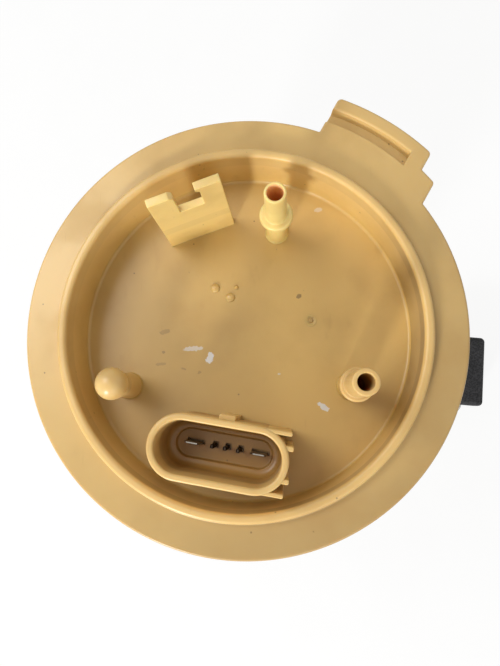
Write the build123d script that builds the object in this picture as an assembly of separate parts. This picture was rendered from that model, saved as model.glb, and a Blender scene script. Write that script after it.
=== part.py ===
from build123d import *
import os
from math import atan2, cos, degrees, hypot, pi, radians, sin, tan

# In-tank fuel pump module: a moulded flange that closes the tank, two guide rods with springs,
# and a swirl pot that hangs on them with the electric pump, jet pump and level sender inside.
# Frame: +Z up, origin on the flange axis in the plane of the flange's underside, which seats on
# the tank neck. Sizes are in millimetres.

os.makedirs("parts", exist_ok=True)

# ---------------------------------------------------------------- shared clearances
FIT_GAP = 0.05          # fixed pieces that seat in each other, on the radius
RUN_GAP = 0.06          # running fits of rods, shafts and pins, on the radius
AIR_GAP = 0.3           # pieces that come close to each other without touching
CUT = 1.0               # how far a cutting tool runs past the face that it opens

# ---------------------------------------------------------------- flange moulding
FLANGE_R = 85.0
FLANGE_T = 4.5
FLANGE_EDGE_ROUND = 1.4
LIP_OUTER_R = 71.5
LIP_H = 3.5
LIP_ROUND = 1.5
CUP_WALL = 3.7
CUP_DEPTH = 18.7        # flange top face down to the recess floor
CUP_ROUND = 2.0
FLOOR_T = 3.0
SPIGOT_STEP = 0.5       # the spigot below the flange is this much smaller than the lip

CUP_INNER_R = LIP_OUTER_R - CUP_WALL
SPIGOT_R = LIP_OUTER_R - SPIGOT_STEP
FLOOR_TOP = FLANGE_T - CUP_DEPTH
FLOOR_BOTTOM = FLOOR_TOP - FLOOR_T

# orientation tab on the flange's edge: all its ends are parallel to one direction
TAB_R = 101.3
TAB_NOTCH = 7.6         # the step's edge lies this far inside the tab's
TAB_TURN = 60.3         # direction of the ends, in degrees from +X
TAB_LEFT = 12.7         # distance of each end from the flange's axis, across that direction
TAB_RIGHT = -30.0
TAB_STEP_RIGHT = -36.6
TAB_DROP = 3.5          # the tab reaches this far below the flange's underside
TAB_ROUND = 2.4
SLOT_INSET = 11.7       # slot's inner edge to the tab's edge
SLOT_W = 6.4
SLOT_DEPTH = 5.2
SLOT_RIGHT = -23.0

# line stems: quick-connect ends for the supply and the return line
STEM_H = 44.2           # recess floor to the tip
STEM_BORE_R = 2.95
STEM_TIP_ROUND = 0.8
STEM_ROOT_ROUND = 1.6
BEAD_R = 6.5
BEAD_T = 2.8
BEAD_BELOW_TIP = 23.0
SUPPLY_STEM_R = 4.745   # 9.49 mm, the 3/8 in quick-connect size
RETURN_STEM_R = 3.945   # 7.89 mm, the 5/16 in quick-connect size
SUPPLY_AT = (42.4, -21.2)
ELBOW_TURN = -40.0      # the supply elbow below the floor, from -X
RETURN_AT = (13.1, 43.9)

# plugged port: a closed stub with a ball head
PLUG_AT = (-49.0, -20.3)
PLUG_R = 5.1
PLUG_HEAD_R = 5.9
PLUG_H = 23.8
PLUG_ROOT_R = 7.2

# hose clip: a standing plate with a notch and a hooked arm
CLIP_CORNER = (-31.25, 38.75)
CLIP_TURN = 19.7        # degrees from +X
CLIP_W = 28.5
CLIP_T = 3.1
CLIP_H = 45.7
CLIP_DRAFT = 0.6        # how much each side leans in towards the top
NOTCH_FROM = 10.2
NOTCH_W = 9.5
NOTCH_DEPTH = 13.9
HOOK_REACH = 1.5
HOOK_H = 2.4
LEAD_IN = 1.6

# connector shroud, in its own directions: s along its length, n across it
SHROUD_AT = (-7.7, -45.5)
SHROUD_TURN = -9.6
SHROUD_L = 50.4
SHROUD_W = 23.0
SHROUD_WALL = 2.1
SHROUD_H = 30.0         # recess floor to the rim
SHROUD_RIM_ROUND = 0.8
SOCKET_DEPTH = 23.5
POCKET_INSET = 3.6
POCKET_DEPTH = 1.8
RAIL_T = 1.5
RAIL_END_GAP = 0.4      # the corner rails end this far before the shroud's end
NUB_W = 1.8
NUB_OFF = 5.7
NUB_REACH = 0.8
KEY_W = 6.1
KEY_T = 2.0
KEY_AT = 0.6
KEY_TOP = 5.0           # below the rim

# terminals in the connector
ROW_AT = (1.0, 0.6)     # centre of the terminal row, as (s, n)
BLADE_SPAN = 26.0
BLADE_W = 6.3
BLADE_T = 0.8
PIN_PITCH = 5.05
PIN_W = 1.5
TERMINAL_H = 9.0        # above the socket's pocket
TERMINAL_DOWN = 10.0    # below the flange's floor
TERMINAL_WELL = 0.45    # clear space round each terminal where it leaves the pocket
WELL_DEPTH = 1.2
POTTING_L = 38.0
POTTING_W = 13.0
POTTING_T = 2.6
INNER_PLUG_L = 36.0
INNER_PLUG_W = 12.5
INNER_PLUG_H = 14.0

# small marks moulded on the recess floor
BUMP_R = 1.7
BUMP_H = 1.0
BUMPS_AT = ((-13.0, 20.2), (-6.6, 16.1))
DIMPLE_AT = (26.8, 6.0)
DIMPLE_R = 2.6
DIMPLE_DEPTH = 0.7
PIP_R = 1.0

# tank seal
SEAL_W = 5.0
SEAL_H = 5.0
SEAL_ROUND = 1.2

# ---------------------------------------------------------------- guide rods and springs
ROD_R = 4.0
ROD_TIP_ROUND = 0.8
BOSS_R = 5.9
BOSS_L = 12.0
CLIP_RING_R = 5.6
CLIP_RING_T = 1.0
ROD_BELOW_CLIP = 3.0
SPRING_WIRE_R = 0.7
SPRING_GAP = 0.4        # between the boss and the inside of the coil
SPRING_TURNS = 7.0

# ---------------------------------------------------------------- swirl pot and its cover
HEAD_ROOM = 44.3        # flange floor down to the cover's top, hanging free
COVER_T = 2.5
POT_R = 59.0
ROD_INSET = 11.96       # rod's axis to the pot's outside
ROD_TURN = 20.01        # direction of each rod from the X axis
JET_INSET = 15.1        # jet pump's axis to the pot's outside
POT_WALL = 2.2
POT_H = 99.5            # rim to the underside of the floor
POT_FLOOR_T = 2.5
FEET = 4
FOOT_H = 4.0
FOOT_W = 7.0
FOOT_GAP_ANGLE = 26.0
FLAT_AT = 44.0          # the flat side that carries the sender, from the pot's axis
SKIRT_T = 1.8
SKIRT_H = 9.0
SNAP_W = 10.0
SNAP_H = 3.0
SNAP_OUT = 1.5
SNAP_ANGLES = (30, 75, 105, 150, 205, 335)
SLEEVE_R = 7.4
SLEEVE_WALL = 1.7
SLEEVE_L = 47.0
COLLAR_L = 5.0
WEB_T = 2.0
BUSH_R = 5.2
BUSH_L = 10.0
BUSH_HEAD_R = 8.3
BUSH_HEAD_T = 1.5
COVER_RIB_H = 2.2
COVER_RIB_T = 1.8
LONG_RIB_ANGLES = (70, 110, 205, 335)
SHORT_RIB_ANGLES = (45, 135)    # these end at the bushes
HOSE_HOLE_R = 6.6

ROD_X = (POT_R - ROD_INSET) * cos(radians(ROD_TURN))
ROD_Y = (POT_R - ROD_INSET) * sin(radians(ROD_TURN))
JET_AT = (RETURN_AT[0], POT_R - JET_INSET)
COVER_TOP = FLOOR_BOTTOM - HEAD_ROOM
POT_TOP = COVER_TOP - COVER_T
POT_BOTTOM = POT_TOP - POT_H
POT_FLOOR_TOP = POT_BOTTOM + POT_FLOOR_T
BASE_Z = POT_BOTTOM - FOOT_H
SLEEVE_BOTTOM = POT_TOP - SLEEVE_L

# ---------------------------------------------------------------- hoses
HOSE_BORE_R = 3.7
HOSE_R = 4.7
BARB_GAP = 0.02
BARB_ROOT_R = 3.2
BARB_BORE_R = 2.0
BARB_PITCH = 3.2
BARB_COUNT = 3
BARB_L = BARB_PITCH * BARB_COUNT
NIPPLE_ROOT_L = 3.0
SUPPLY_STRAIGHT = 24.0  # the supply hose runs straight this far from its stem
SUPPLY_RETURN = 18.6    # straight run onto the pump's barb
SUPPLY_VIA = ((11.0, 13.0, 20.3), (-10.0, 19.5, 9.3), (-33.0, 18.0, 2.0))  # x, then from the outlet
RETURN_BOW = (-7.0, 0.8, -4.0)  # how far the return hose bows out at its middle
RETURN_ENTRY = 8.0      # straight run below the pot's rim
RETURN_FOOT = 16.0      # straight run above the jet pump

# ---------------------------------------------------------------- electric pump
PUMP_AT = (0.0, -4.0)
SHELL_R = 19.0
SHELL_WALL = 0.8
SHELL_BELOW_RIM = 11.0  # pot's rim down to the shell's upper edge
ROLL_IN = 1.6
PUMP_UNDER = 14.0       # pot floor up to the shell's lower edge
INLET_T = 9.2
INLET_OFFSET = 7.0
INLET_R = 5.4
INLET_BORE_R = 4.2
INLET_L = 7.0
IMPELLER_R = 15.5
IMPELLER_T = 3.6
VANES = 24
VANE_DEPTH = 2.6
VANE_SLOT = 1.3
CHAMBER_T = 10.0
CHANNEL_W = 2.4
CHANNEL_DEPTH = 1.4
CHANNEL_FROM = 20.0     # the channel's two ends, in degrees from +X
CHANNEL_TO = 330.0
SIDE_GAP = 0.1          # impeller to the chamber walls
SHAFT_R = 2.0
BEARING_R = 4.2
BEARING_L = 7.0
CORE_R = 12.2
MOTOR_ENDS = 46.0       # length of the shell that the core doesn't take
CORE_SLOTS = 8
CORE_SLOT_W = 2.0
CORE_SLOT_DEPTH = 4.5
CORE_ABOVE_CHAMBER = 9.0
WINDING_T = 3.2
MAGNET_T = 4.7
MAGNET_ANGLE = 132.0
MAGNET_EXTRA = 2.0      # the magnets stand past the core at each end
COMMUTATOR_R = 10.2
COMMUTATOR_T = 4.0
COMMUTATOR_SLOT = 0.6
BRUSH_OFF = 7.2
BRUSH_W = 4.4
BRUSH_D = 5.0
BRUSH_L = 7.0
BRUSH_SPRING_R = 1.5
BRUSH_SPRING_WIRE_R = 0.25
BRUSH_SPRING_TURNS = 4.0
CAP_PLUG_L = 5.0        # part of the end cap inside the shell
CAP_R = 15.0
CAP_H = 12.0
CAP_WALL = 2.0
OUTLET_OFFSET = -8.0
OUTLET_R = 5.4
OUTLET_H = 12.0
VALVE_SEAT_BORE_R = 2.0
VALVE_R = 3.0
VALVE_CHAMBER_R = 3.3
VALVE_T = 1.4
VALVE_STEM_R = 0.9
VALVE_STEM_L = 4.0
VALVE_SPRING_WIRE_R = 0.25
VALVE_SPRING_R = 1.6
VALVE_SPRING_TURNS = 4.0
POWER_PLUG_AT = (4.0, -8.0)
POWER_PLUG_L = 10.0
POWER_PLUG_W = 7.0
POWER_PLUG_H = 9.0
ISOLATOR_GROOVE = 1.2

# pump cradle, foot ring and strainer
CRADLE_WALL = 1.8
CRADLE_H = 15.0
LEDGE_T = 1.8
LEDGE_R = 14.8
FOOT_RING_T = 2.2
LEG_ANGLES = (60, 120, 240, 300)
LEG_SPREAD = 22.0
BAG_L = 60.0
BAG_W = 24.0
BAG_T = 6.6
BAG_ROUND = 2.8
BAG_SHIFT = 4.0
BAG_REST = 0.4          # pot floor to the underside of the bag
COLLAR_WALL = 1.4

# jet pump and first-fill valve on the pot floor
JET_R = 5.2
JET_L = 36.0
JET_BORE_R = 2.6
JET_FOOT_W = 8.0
JET_SUCTION_R = 3.0
JET_RISER_R = 4.6
JET_RISER_H = 6.0
NOZZLE_L = 9.0
NOZZLE_BORE_R = 0.7
FILL_AT = (-22.0, 24.0)
FILL_R = 7.0
FILL_T = 1.2
FILL_STEM_R = 1.2
FILL_HEAD_R = 1.9
FILL_PORT_R = 1.5
FILL_PORT_AT = 4.2
FILL_PORTS = 6
FILL_LIFT = 1.5

# ---------------------------------------------------------------- level sender and float arm
SENDER_YAW = -5.2       # the flat side and the sender are turned about Z by this much
SENDER_W = 42.0
SENDER_H = 54.0
SENDER_D = 9.0
SENDER_TOP_BELOW = 8.0  # below the pot's rim
SENDER_WALL = 1.8
SENDER_ROUND = 4.0
PIVOT_UP = 20.0         # sender's lower edge up to the pivot
PIVOT_R = 3.0
PIVOT_BOSS_R = 5.5
CARD_W = 32.0
CARD_H = 19.0
CARD_T = 0.8
CARD_ABOVE_PIVOT = 20.0
HUB_R = 8.5
HUB_T = 4.6
WIPER_W = 2.2
WIPER_T = 0.35
WIPER_REACH = 17.5
WIPER_SPACING = 4.4
WIRE_R = 1.25
FLOAT_X = 131.0         # float axle, along the sender's own x
FLOAT_UP = 15.0         # float axle above the base
FLOAT_W = 26.0
FLOAT_L = 44.0
FLOAT_T = 14.0
FLOAT_MID = 5.0         # middle of the float, along the sender's own y
FLOAT_ROUND = 2.6
FLOAT_SIDE_GAP = 2.0    # float to the arm beside it
ARM_JOG_FROM = 76.0     # distance from the pivot at which the arm turns inward
ARM_JOG_L = 24.0
ARM_BEND_R = 7.0
ARM_END_BEND_R = 3.0     # bend beside the float
ARM_SWING = 55.0
ARM_END_R = 2.1
ARM_END_T = 1.0
STOP_R = 1.6

# ---------------------------------------------------------------- wires
LEAD_R = 1.1
LEAD_SPACING = 4.0
LEAD_ENTRY = 9.0        # straight run into the pump's plug and into the sender
POWER_LANE = 8.0        # middle of the power wires, along the connector
POWER_AWAY = 8.0
POWER_OVER = (1.0, -4.0, -3.0)
SIGNAL_LANE = -4.0      # middle of the signal wires, along the connector
SIGNAL_AWAY = 6.0
SIGNAL_HIGH = (-1.0, -7.5, -12.0)   # the wires' bow beside the pot, from the sender's entry
SIGNAL_LOW = (-0.6, -6.0, 18.0)
SENDER_ENTRY = -10.0


# ================================================================ helpers
def disc(radius, low, high, at=(0, 0)):
    """Upright cylinder between two heights."""
    base = Cylinder(radius, high - low, align=(Align.CENTER, Align.CENTER, Align.MIN))
    return Pos(at[0], at[1], low) * base


def tube(outer, inner, low, high, at=(0, 0)):
    """Upright tube between two heights."""
    return disc(outer, low, high, at) - disc(inner, low - CUT, high + CUT, at)


def slab(size_x, size_y, low, high):
    """Box centred on the Z axis between two heights."""
    base = Box(size_x, size_y, high - low, align=(Align.CENTER, Align.CENTER, Align.MIN))
    return Pos(0, 0, low) * base


def lathe(points, rounds=()):
    """Solid turned about Z from (radius, height) corners; rounds lists (corner, radius)."""
    face = Plane.XZ * make_face(Polyline(*points, close=True))
    for corner, radius in rounds:
        r, z = points[corner]
        nearest = face.vertices().sort_by_distance((r, 0, z))[0]
        face = fillet(nearest, radius)
    return revolve(face, Axis.Z)


def polar(radius, angle):
    """Point in the XY plane at a radius and an angle in degrees."""
    return (radius * cos(radians(angle)), radius * sin(radians(angle)))


def arc_face(inner, outer, start, end):
    """Flat ring sector between two radii and two angles."""
    middle = (start + end) / 2
    edges = [
        ThreePointArc(polar(outer, start), polar(outer, middle), polar(outer, end)),
        Line(polar(outer, end), polar(inner, end)),
        ThreePointArc(polar(inner, end), polar(inner, middle), polar(inner, start)),
        Line(polar(inner, start), polar(outer, start)),
    ]
    return make_face(edges)


def sector(inner, outer, start, end, low, high):
    """Ring sector between two heights."""
    return Pos(0, 0, low) * extrude(arc_face(inner, outer, start, end), high - low)


def coil(radius, wire, low, high, turns):
    """Open helical spring whose wire stays between two heights."""
    span = high - low - 2 * wire
    path = Pos(0, 0, low + wire) * Helix(span / turns, span, radius)
    section = Plane(path @ 0, z_dir=path % 0) * Circle(wire)
    return sweep(section, path)


def pipe(points, radii, outer, inner=0.0):
    """Round bar or tube along straight runs joined by tangent arcs."""
    path = FilletPolyline(*points, radius=radii)
    start = Plane(path @ 0, z_dir=path % 0)
    section = start * Circle(outer)
    if inner:
        section -= start * Circle(inner)
    return sweep(section, path)


def barb(length_root):
    """Barbed hose nipple pointing up from z = 0, with its bore."""
    crest = HOSE_BORE_R - BARB_GAP
    points = [(BARB_BORE_R, 0), (BARB_ROOT_R, 0), (BARB_ROOT_R, length_root)]
    for step in range(BARB_COUNT):
        foot = length_root + step * BARB_PITCH
        points += [(crest, foot), (BARB_ROOT_R, foot + BARB_PITCH)]
    points.append((BARB_BORE_R, length_root + BARB_L))
    return lathe(points)


def save(node, *solids):
    """Write one node as a STEP file."""
    shape = solids[0] if len(solids) == 1 else Compound(children=list(solids))
    shape.label = node
    export_step(shape, f"parts/{node}.step")


# ================================================================ flange moulding
SHROUD = Pos(SHROUD_AT[0], SHROUD_AT[1]) * Rot(0, 0, SHROUD_TURN)
SHROUD_TOP = FLOOR_TOP + SHROUD_H
SOCKET_FLOOR = SHROUD_TOP - SOCKET_DEPTH
POCKET_FLOOR = SOCKET_FLOOR - POCKET_DEPTH
STEM_TIP = FLOOR_TOP + STEM_H
ELBOW_Z = FLOOR_BOTTOM - HOSE_R - 2.6


def flange_ring():
    """Flange, lip, recess cup and spigot as one turned form."""
    lip_top = FLANGE_T + LIP_H
    points = [
        (0, FLOOR_BOTTOM), (SPIGOT_R, FLOOR_BOTTOM), (SPIGOT_R, 0), (FLANGE_R, 0), (FLANGE_R, FLANGE_T),
        (LIP_OUTER_R, FLANGE_T), (LIP_OUTER_R, lip_top), (CUP_INNER_R, lip_top),
        (CUP_INNER_R, FLOOR_TOP), (0, FLOOR_TOP),
    ]
    rounds = [(1, CUP_ROUND), (4, FLANGE_EDGE_ROUND), (5, LIP_ROUND / 2), (6, LIP_ROUND), (7, LIP_ROUND),
              (8, CUP_ROUND)]
    return lathe(points, rounds)


def ring_strip(inner, outer, right, left, low, high):
    """Part of a ring between two lines that run along the tab's direction."""
    strip = Pos(outer / 2, (left + right) / 2) * slab(outer, left - right, low - CUT, high + CUT)
    return Rot(0, 0, TAB_TURN) * (tube(outer, inner, low, high) & strip)


def flange_tab():
    """Stepped orientation tab with its open-ended arc slot."""
    root = FLANGE_R - 2 * CUT
    lobe = ring_strip(root, TAB_R, TAB_RIGHT, TAB_LEFT, -TAB_DROP, FLANGE_T)
    corners = [edge for edge in lobe.edges().filter_by(Axis.Z)
               if abs(hypot(edge.center().X, edge.center().Y) - TAB_R) < FIT_GAP]
    lobe = fillet(corners, TAB_ROUND)
    step = ring_strip(root, TAB_R - TAB_NOTCH, TAB_STEP_RIGHT, TAB_RIGHT + CUT, -TAB_DROP, FLANGE_T)
    slot_inner = TAB_R - SLOT_INSET
    slot = ring_strip(slot_inner, slot_inner + SLOT_W, SLOT_RIGHT, TAB_LEFT + CUT,
                      FLANGE_T - SLOT_DEPTH, FLANGE_T + CUT)
    return lobe + step - slot - disc(FLANGE_R, -TAB_DROP - CUT, 0)


def stem(radius, at):
    """Quick-connect stem with its bead, from the recess floor up."""
    bead_top = STEM_TIP - BEAD_BELOW_TIP + BEAD_T / 2
    bead_low = bead_top - BEAD_T
    points = [
        (0, FLOOR_TOP - CUT), (radius, FLOOR_TOP - CUT), (radius, bead_low), (BEAD_R, bead_low),
        (BEAD_R, bead_top), (radius, bead_top), (radius, STEM_TIP), (0, STEM_TIP),
    ]
    rounds = [(3, BEAD_T * 0.3), (4, BEAD_T * 0.3), (5, 0.5), (6, STEM_TIP_ROUND)]
    root_top = FLOOR_TOP + STEM_ROOT_ROUND
    root = lathe([(0, FLOOR_TOP), (radius + STEM_ROOT_ROUND, FLOOR_TOP), (radius, root_top), (0, root_top)])
    return Pos(at[0], at[1]) * (lathe(points, rounds) + root)


def plugged_port():
    """Closed stub with a ball head."""
    head_mid = FLOOR_TOP + PLUG_H - PLUG_HEAD_R
    body = disc(PLUG_R, FLOOR_TOP, head_mid) + Pos(0, 0, head_mid) * Sphere(PLUG_HEAD_R)
    root = lathe([(0, FLOOR_TOP), (PLUG_ROOT_R, FLOOR_TOP), (PLUG_R, FLOOR_TOP + PLUG_ROOT_R - PLUG_R),
                  (0, FLOOR_TOP + PLUG_ROOT_R - PLUG_R)])
    return Pos(PLUG_AT[0], PLUG_AT[1]) * (body + root)


def hose_clip():
    """Standing plate with a notch open at the top and a hook on the right arm."""
    notch_to = NOTCH_FROM + NOTCH_W
    notch_low = CLIP_H - NOTCH_DEPTH
    hook_low = CLIP_H - HOOK_H
    points = [
        (0, 0), (CLIP_W, 0), (CLIP_W - CLIP_DRAFT, CLIP_H), (notch_to - HOOK_REACH, CLIP_H),
        (notch_to - HOOK_REACH, hook_low + HOOK_REACH / 2), (notch_to, hook_low - HOOK_REACH / 2),
        (notch_to, notch_low), (NOTCH_FROM, notch_low), (NOTCH_FROM, CLIP_H - LEAD_IN),
        (NOTCH_FROM - LEAD_IN, CLIP_H), (CLIP_DRAFT, CLIP_H),
    ]
    plate = extrude(Plane.XZ * make_face(Polyline(*points, close=True)), -CLIP_T)
    foot = FLOOR_TOP - CUT / 2
    body = Pos(0, 0, FLOOR_TOP) * plate + Pos(CLIP_W / 2, CLIP_T / 2) * slab(CLIP_W, CLIP_T, foot, FLOOR_TOP)
    return Pos(CLIP_CORNER[0], CLIP_CORNER[1]) * Rot(0, 0, CLIP_TURN) * body


def oval(length, width, low, high):
    """Upright prism with straight sides and round ends."""
    return Pos(0, 0, low) * extrude(SlotOverall(length, width), high - low)


def shroud_outside():
    """Outer form of the connector shroud with its rails, nubs and key."""
    foot = FLOOR_TOP - CUT / 2
    body = oval(SHROUD_L, SHROUD_W, foot, SHROUD_TOP)
    body = fillet(body.edges().group_by(Axis.Z)[-1], SHROUD_RIM_ROUND)
    rail_end = SHROUD_L / 2 - RAIL_END_GAP
    rail_l = SHROUD_W / 2
    rail_top = SHROUD_TOP - SHROUD_RIM_ROUND
    nub_l = SHROUD_W / 4
    nub_end = SHROUD_L / 2 + NUB_REACH
    for side in (1, -1):
        rail_mid = side * (SHROUD_W / 2 - RAIL_T / 2)
        body += Pos(rail_end - rail_l / 2, rail_mid) * slab(rail_l, RAIL_T, foot, rail_top)
        body += Pos(nub_end - nub_l / 2, side * NUB_OFF) * slab(nub_l, NUB_W, foot, rail_top)
    key_d = KEY_T + SHROUD_WALL / 2
    key_mid = SHROUD_W / 2 + KEY_T - key_d / 2
    body += Pos(KEY_AT, key_mid) * slab(KEY_W, key_d, foot, SHROUD_TOP - KEY_TOP)
    return SHROUD * body


def shroud_inside():
    """Space inside the shroud: socket, stepped pocket and terminal wells."""
    wall = 2 * SHROUD_WALL
    space = oval(SHROUD_L - wall, SHROUD_W - wall, SOCKET_FLOOR, SHROUD_TOP + CUT)
    inset = wall + 2 * POCKET_INSET
    space += oval(SHROUD_L - inset, SHROUD_W - inset, POCKET_FLOOR, SOCKET_FLOOR + CUT)
    space = SHROUD * space
    for shape in terminal_bars(TERMINAL_WELL, POCKET_FLOOR - WELL_DEPTH, POCKET_FLOOR + CUT):
        space += shape
    for shape in terminal_bars(FIT_GAP, FLOOR_BOTTOM - CUT, POCKET_FLOOR):
        space += shape
    return space


def terminal_bars(grow, low, high):
    """The five terminals as plain bars, each grown all round: two blades, then three pins."""
    bars = []
    for side in (-1, 1):
        where = Pos(ROW_AT[0] + side * BLADE_SPAN / 2, ROW_AT[1])
        bars.append(SHROUD * where * slab(BLADE_W + 2 * grow, BLADE_T + 2 * grow, low, high))
    for step in (-1, 0, 1):
        where = Pos(ROW_AT[0] + step * PIN_PITCH, ROW_AT[1])
        bars.append(SHROUD * where * slab(PIN_W + 2 * grow, PIN_W + 2 * grow, low, high))
    return bars


def rod_bosses():
    """Sockets for the guide rods below the floor."""
    low = FLOOR_BOTTOM - BOSS_L
    bosses = Part()
    for side in (-1, 1):
        body = disc(BOSS_R, low, FLOOR_BOTTOM + CUT)
        bosses += Pos(side * ROD_X, ROD_Y) * body
    return bosses


def supply_elbow():
    """Elbow below the supply stem, with its barb pointing to -X and turned by ELBOW_TURN."""
    barb_low = Pos(-BARB_ROOT_R, 0, ELBOW_Z) * Rot(0, -90, 0) * barb(NIPPLE_ROOT_L)
    body = disc(RETURN_STEM_R, ELBOW_Z, FLOOR_BOTTOM + CUT) + Pos(0, 0, ELBOW_Z) * Sphere(RETURN_STEM_R)
    body -= disc(BARB_BORE_R, ELBOW_Z, FLOOR_BOTTOM + 2 * CUT)
    across = Pos(0, 0, ELBOW_Z) * Rot(0, -90, 0) * disc(BARB_BORE_R, 0, RETURN_STEM_R + CUT)
    return Pos(SUPPLY_AT[0], SUPPLY_AT[1]) * Rot(0, 0, ELBOW_TURN) * (body - across + barb_low)


def flange():
    """The whole moulding."""
    body = flange_ring() + flange_tab()
    body += stem(SUPPLY_STEM_R, SUPPLY_AT) + stem(RETURN_STEM_R, RETURN_AT)
    body += plugged_port() + hose_clip() + shroud_outside() + rod_bosses()
    for at in BUMPS_AT:
        body += Pos(at[0], at[1], FLOOR_TOP) * scale(Sphere(BUMP_R), (1, 1, BUMP_H / BUMP_R))
    body -= tube(DIMPLE_R, PIP_R, FLOOR_TOP - DIMPLE_DEPTH, FLOOR_TOP + CUT, DIMPLE_AT)
    body -= shroud_inside()
    for side in (-1, 1):
        body -= disc(ROD_R + FIT_GAP, FLOOR_BOTTOM - BOSS_L - CUT, FLOOR_BOTTOM, (side * ROD_X, ROD_Y))
    for at in (SUPPLY_AT, RETURN_AT):
        body -= disc(STEM_BORE_R, FLOOR_TOP - CUT, STEM_TIP + CUT, at)
        body -= disc(BARB_BORE_R, FLOOR_BOTTOM - CUT, FLOOR_TOP, at)
    nipple = Pos(RETURN_AT[0], RETURN_AT[1], FLOOR_BOTTOM) * Rot(180, 0, 0) * barb(NIPPLE_ROOT_L)
    return body + supply_elbow() + nipple


save("flange", flange())

seal_inner = SPIGOT_R + AIR_GAP
seal_outer = seal_inner + SEAL_W
save("tank_seal", lathe(
    [(seal_inner, -SEAL_H), (seal_outer, -SEAL_H), (seal_outer, 0), (seal_inner, 0)],
    [(0, SEAL_ROUND), (1, SEAL_ROUND)]))

terminal_top = POCKET_FLOOR + TERMINAL_H
terminal_low = FLOOR_BOTTOM - TERMINAL_DOWN
terminals = terminal_bars(0, terminal_low, terminal_top)
save("power_terminals", *terminals[:2])
save("signal_terminals", *terminals[2:])


def below_floor(length, width, top, height):
    """Oval block under the terminals, with the terminals' slots."""
    block = SHROUD * Pos(ROW_AT[0], ROW_AT[1]) * oval(length, width, top - height, top)
    for bar in terminal_bars(FIT_GAP, terminal_low - FIT_GAP, FLOOR_BOTTOM + CUT):
        block -= bar
    return block


POTTING_LOW = FLOOR_BOTTOM - POTTING_T
save("terminal_potting", below_floor(POTTING_L, POTTING_W, FLOOR_BOTTOM, POTTING_T))
save("inner_plug", below_floor(INNER_PLUG_L, INNER_PLUG_W, POTTING_LOW, INNER_PLUG_H))

# ================================================================ guide rods
rod_low = SLEEVE_BOTTOM - AIR_GAP - CLIP_RING_T - ROD_BELOW_CLIP
rods = []
rings = []
for side in (-1, 1):
    place = Pos(side * ROD_X, ROD_Y)
    rods.append(place * lathe(
        [(0, rod_low), (ROD_R, rod_low), (ROD_R, FLOOR_BOTTOM), (0, FLOOR_BOTTOM)],
        [(1, ROD_TIP_ROUND), (2, ROD_TIP_ROUND)]))
    ring_top = SLEEVE_BOTTOM - AIR_GAP
    ring = tube(CLIP_RING_R, ROD_R + FIT_GAP, ring_top - CLIP_RING_T, ring_top)
    mouth = Pos(0, -CLIP_RING_R) * slab(ROD_R, CLIP_RING_R, ring_top - 2 * CLIP_RING_T, ring_top + CUT)
    rings.append(place * (ring - mouth))
save("guide_rods", *rods)
save("rod_clips", *rings)

BUSH_TOP = COVER_TOP + BUSH_HEAD_T
spring_r = BOSS_R + SPRING_GAP + SPRING_WIRE_R
for name, side in (("left_spring", -1), ("right_spring", 1)):
    wire = coil(spring_r, SPRING_WIRE_R, BUSH_TOP + FIT_GAP, FLOOR_BOTTOM - FIT_GAP, SPRING_TURNS)
    save(name, Pos(side * ROD_X, ROD_Y) * wire)

# ================================================================ swirl pot
YAW = Rot(0, 0, SENDER_YAW)
JET_X = JET_AT[0] - NOZZLE_L
PUMP_HOLE_R = SHELL_R + CRADLE_WALL


def pot_outline(radius, flat):
    """Round outline with the flat side at -Y, turned with the sender."""
    size = 3 * radius
    keep = Pos(0, size / 2 - flat) * Rectangle(size, size)
    return YAW * (Circle(radius) & keep)


def pot_prism(radius, flat, low, high):
    """Upright prism of the pot's outline."""
    return Pos(0, 0, low) * extrude(pot_outline(radius, flat), high - low)


SNAP_Z = POT_TOP - SKIRT_H / 2


def snap_blocks(inner, outer, width, height):
    """Blocks round the rim where the cover snaps onto the pot."""
    blocks = Part()
    for angle in SNAP_ANGLES:
        low = SNAP_Z - height / 2
        block = Pos((inner + outer) / 2, 0) * slab(outer - inner, width, low, low + height)
        blocks += Rot(0, 0, angle) * block
    return blocks


def guide_sleeves():
    """Sleeves inside the pot that guide the rods, with webs to the wall."""
    sleeves = Part()
    reach = hypot(ROD_X, ROD_Y)
    for side in (-1, 1):
        angle = degrees(atan2(ROD_Y, side * ROD_X))
        web_to = POT_R - POT_WALL / 2
        web = Pos((reach + web_to) / 2, 0) * slab(web_to - reach, WEB_T, SLEEVE_BOTTOM, POT_TOP)
        at = (side * ROD_X, ROD_Y)
        body = Rot(0, 0, angle) * web + disc(SLEEVE_R, SLEEVE_BOTTOM, POT_TOP, at)
        body -= disc(SLEEVE_R - SLEEVE_WALL, SLEEVE_BOTTOM + COLLAR_L, POT_TOP + CUT, at)
        body -= disc(ROD_R + RUN_GAP, SLEEVE_BOTTOM - CUT, POT_TOP, at)
        sleeves += body
    return sleeves


def pot_feet():
    """Broken ring of feet that lets fuel in under the pot."""
    feet = Part()
    outer = POT_R - POT_WALL
    foot_angle = 360 / FEET
    for index in range(FEET):
        start = index * foot_angle
        feet += sector(outer - FOOT_W, outer, start + FOOT_GAP_ANGLE / 2,
                       start + foot_angle - FOOT_GAP_ANGLE / 2, BASE_Z, POT_BOTTOM + CUT)
    return feet & pot_prism(POT_R, FLAT_AT, BASE_Z - CUT, POT_TOP)


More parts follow.
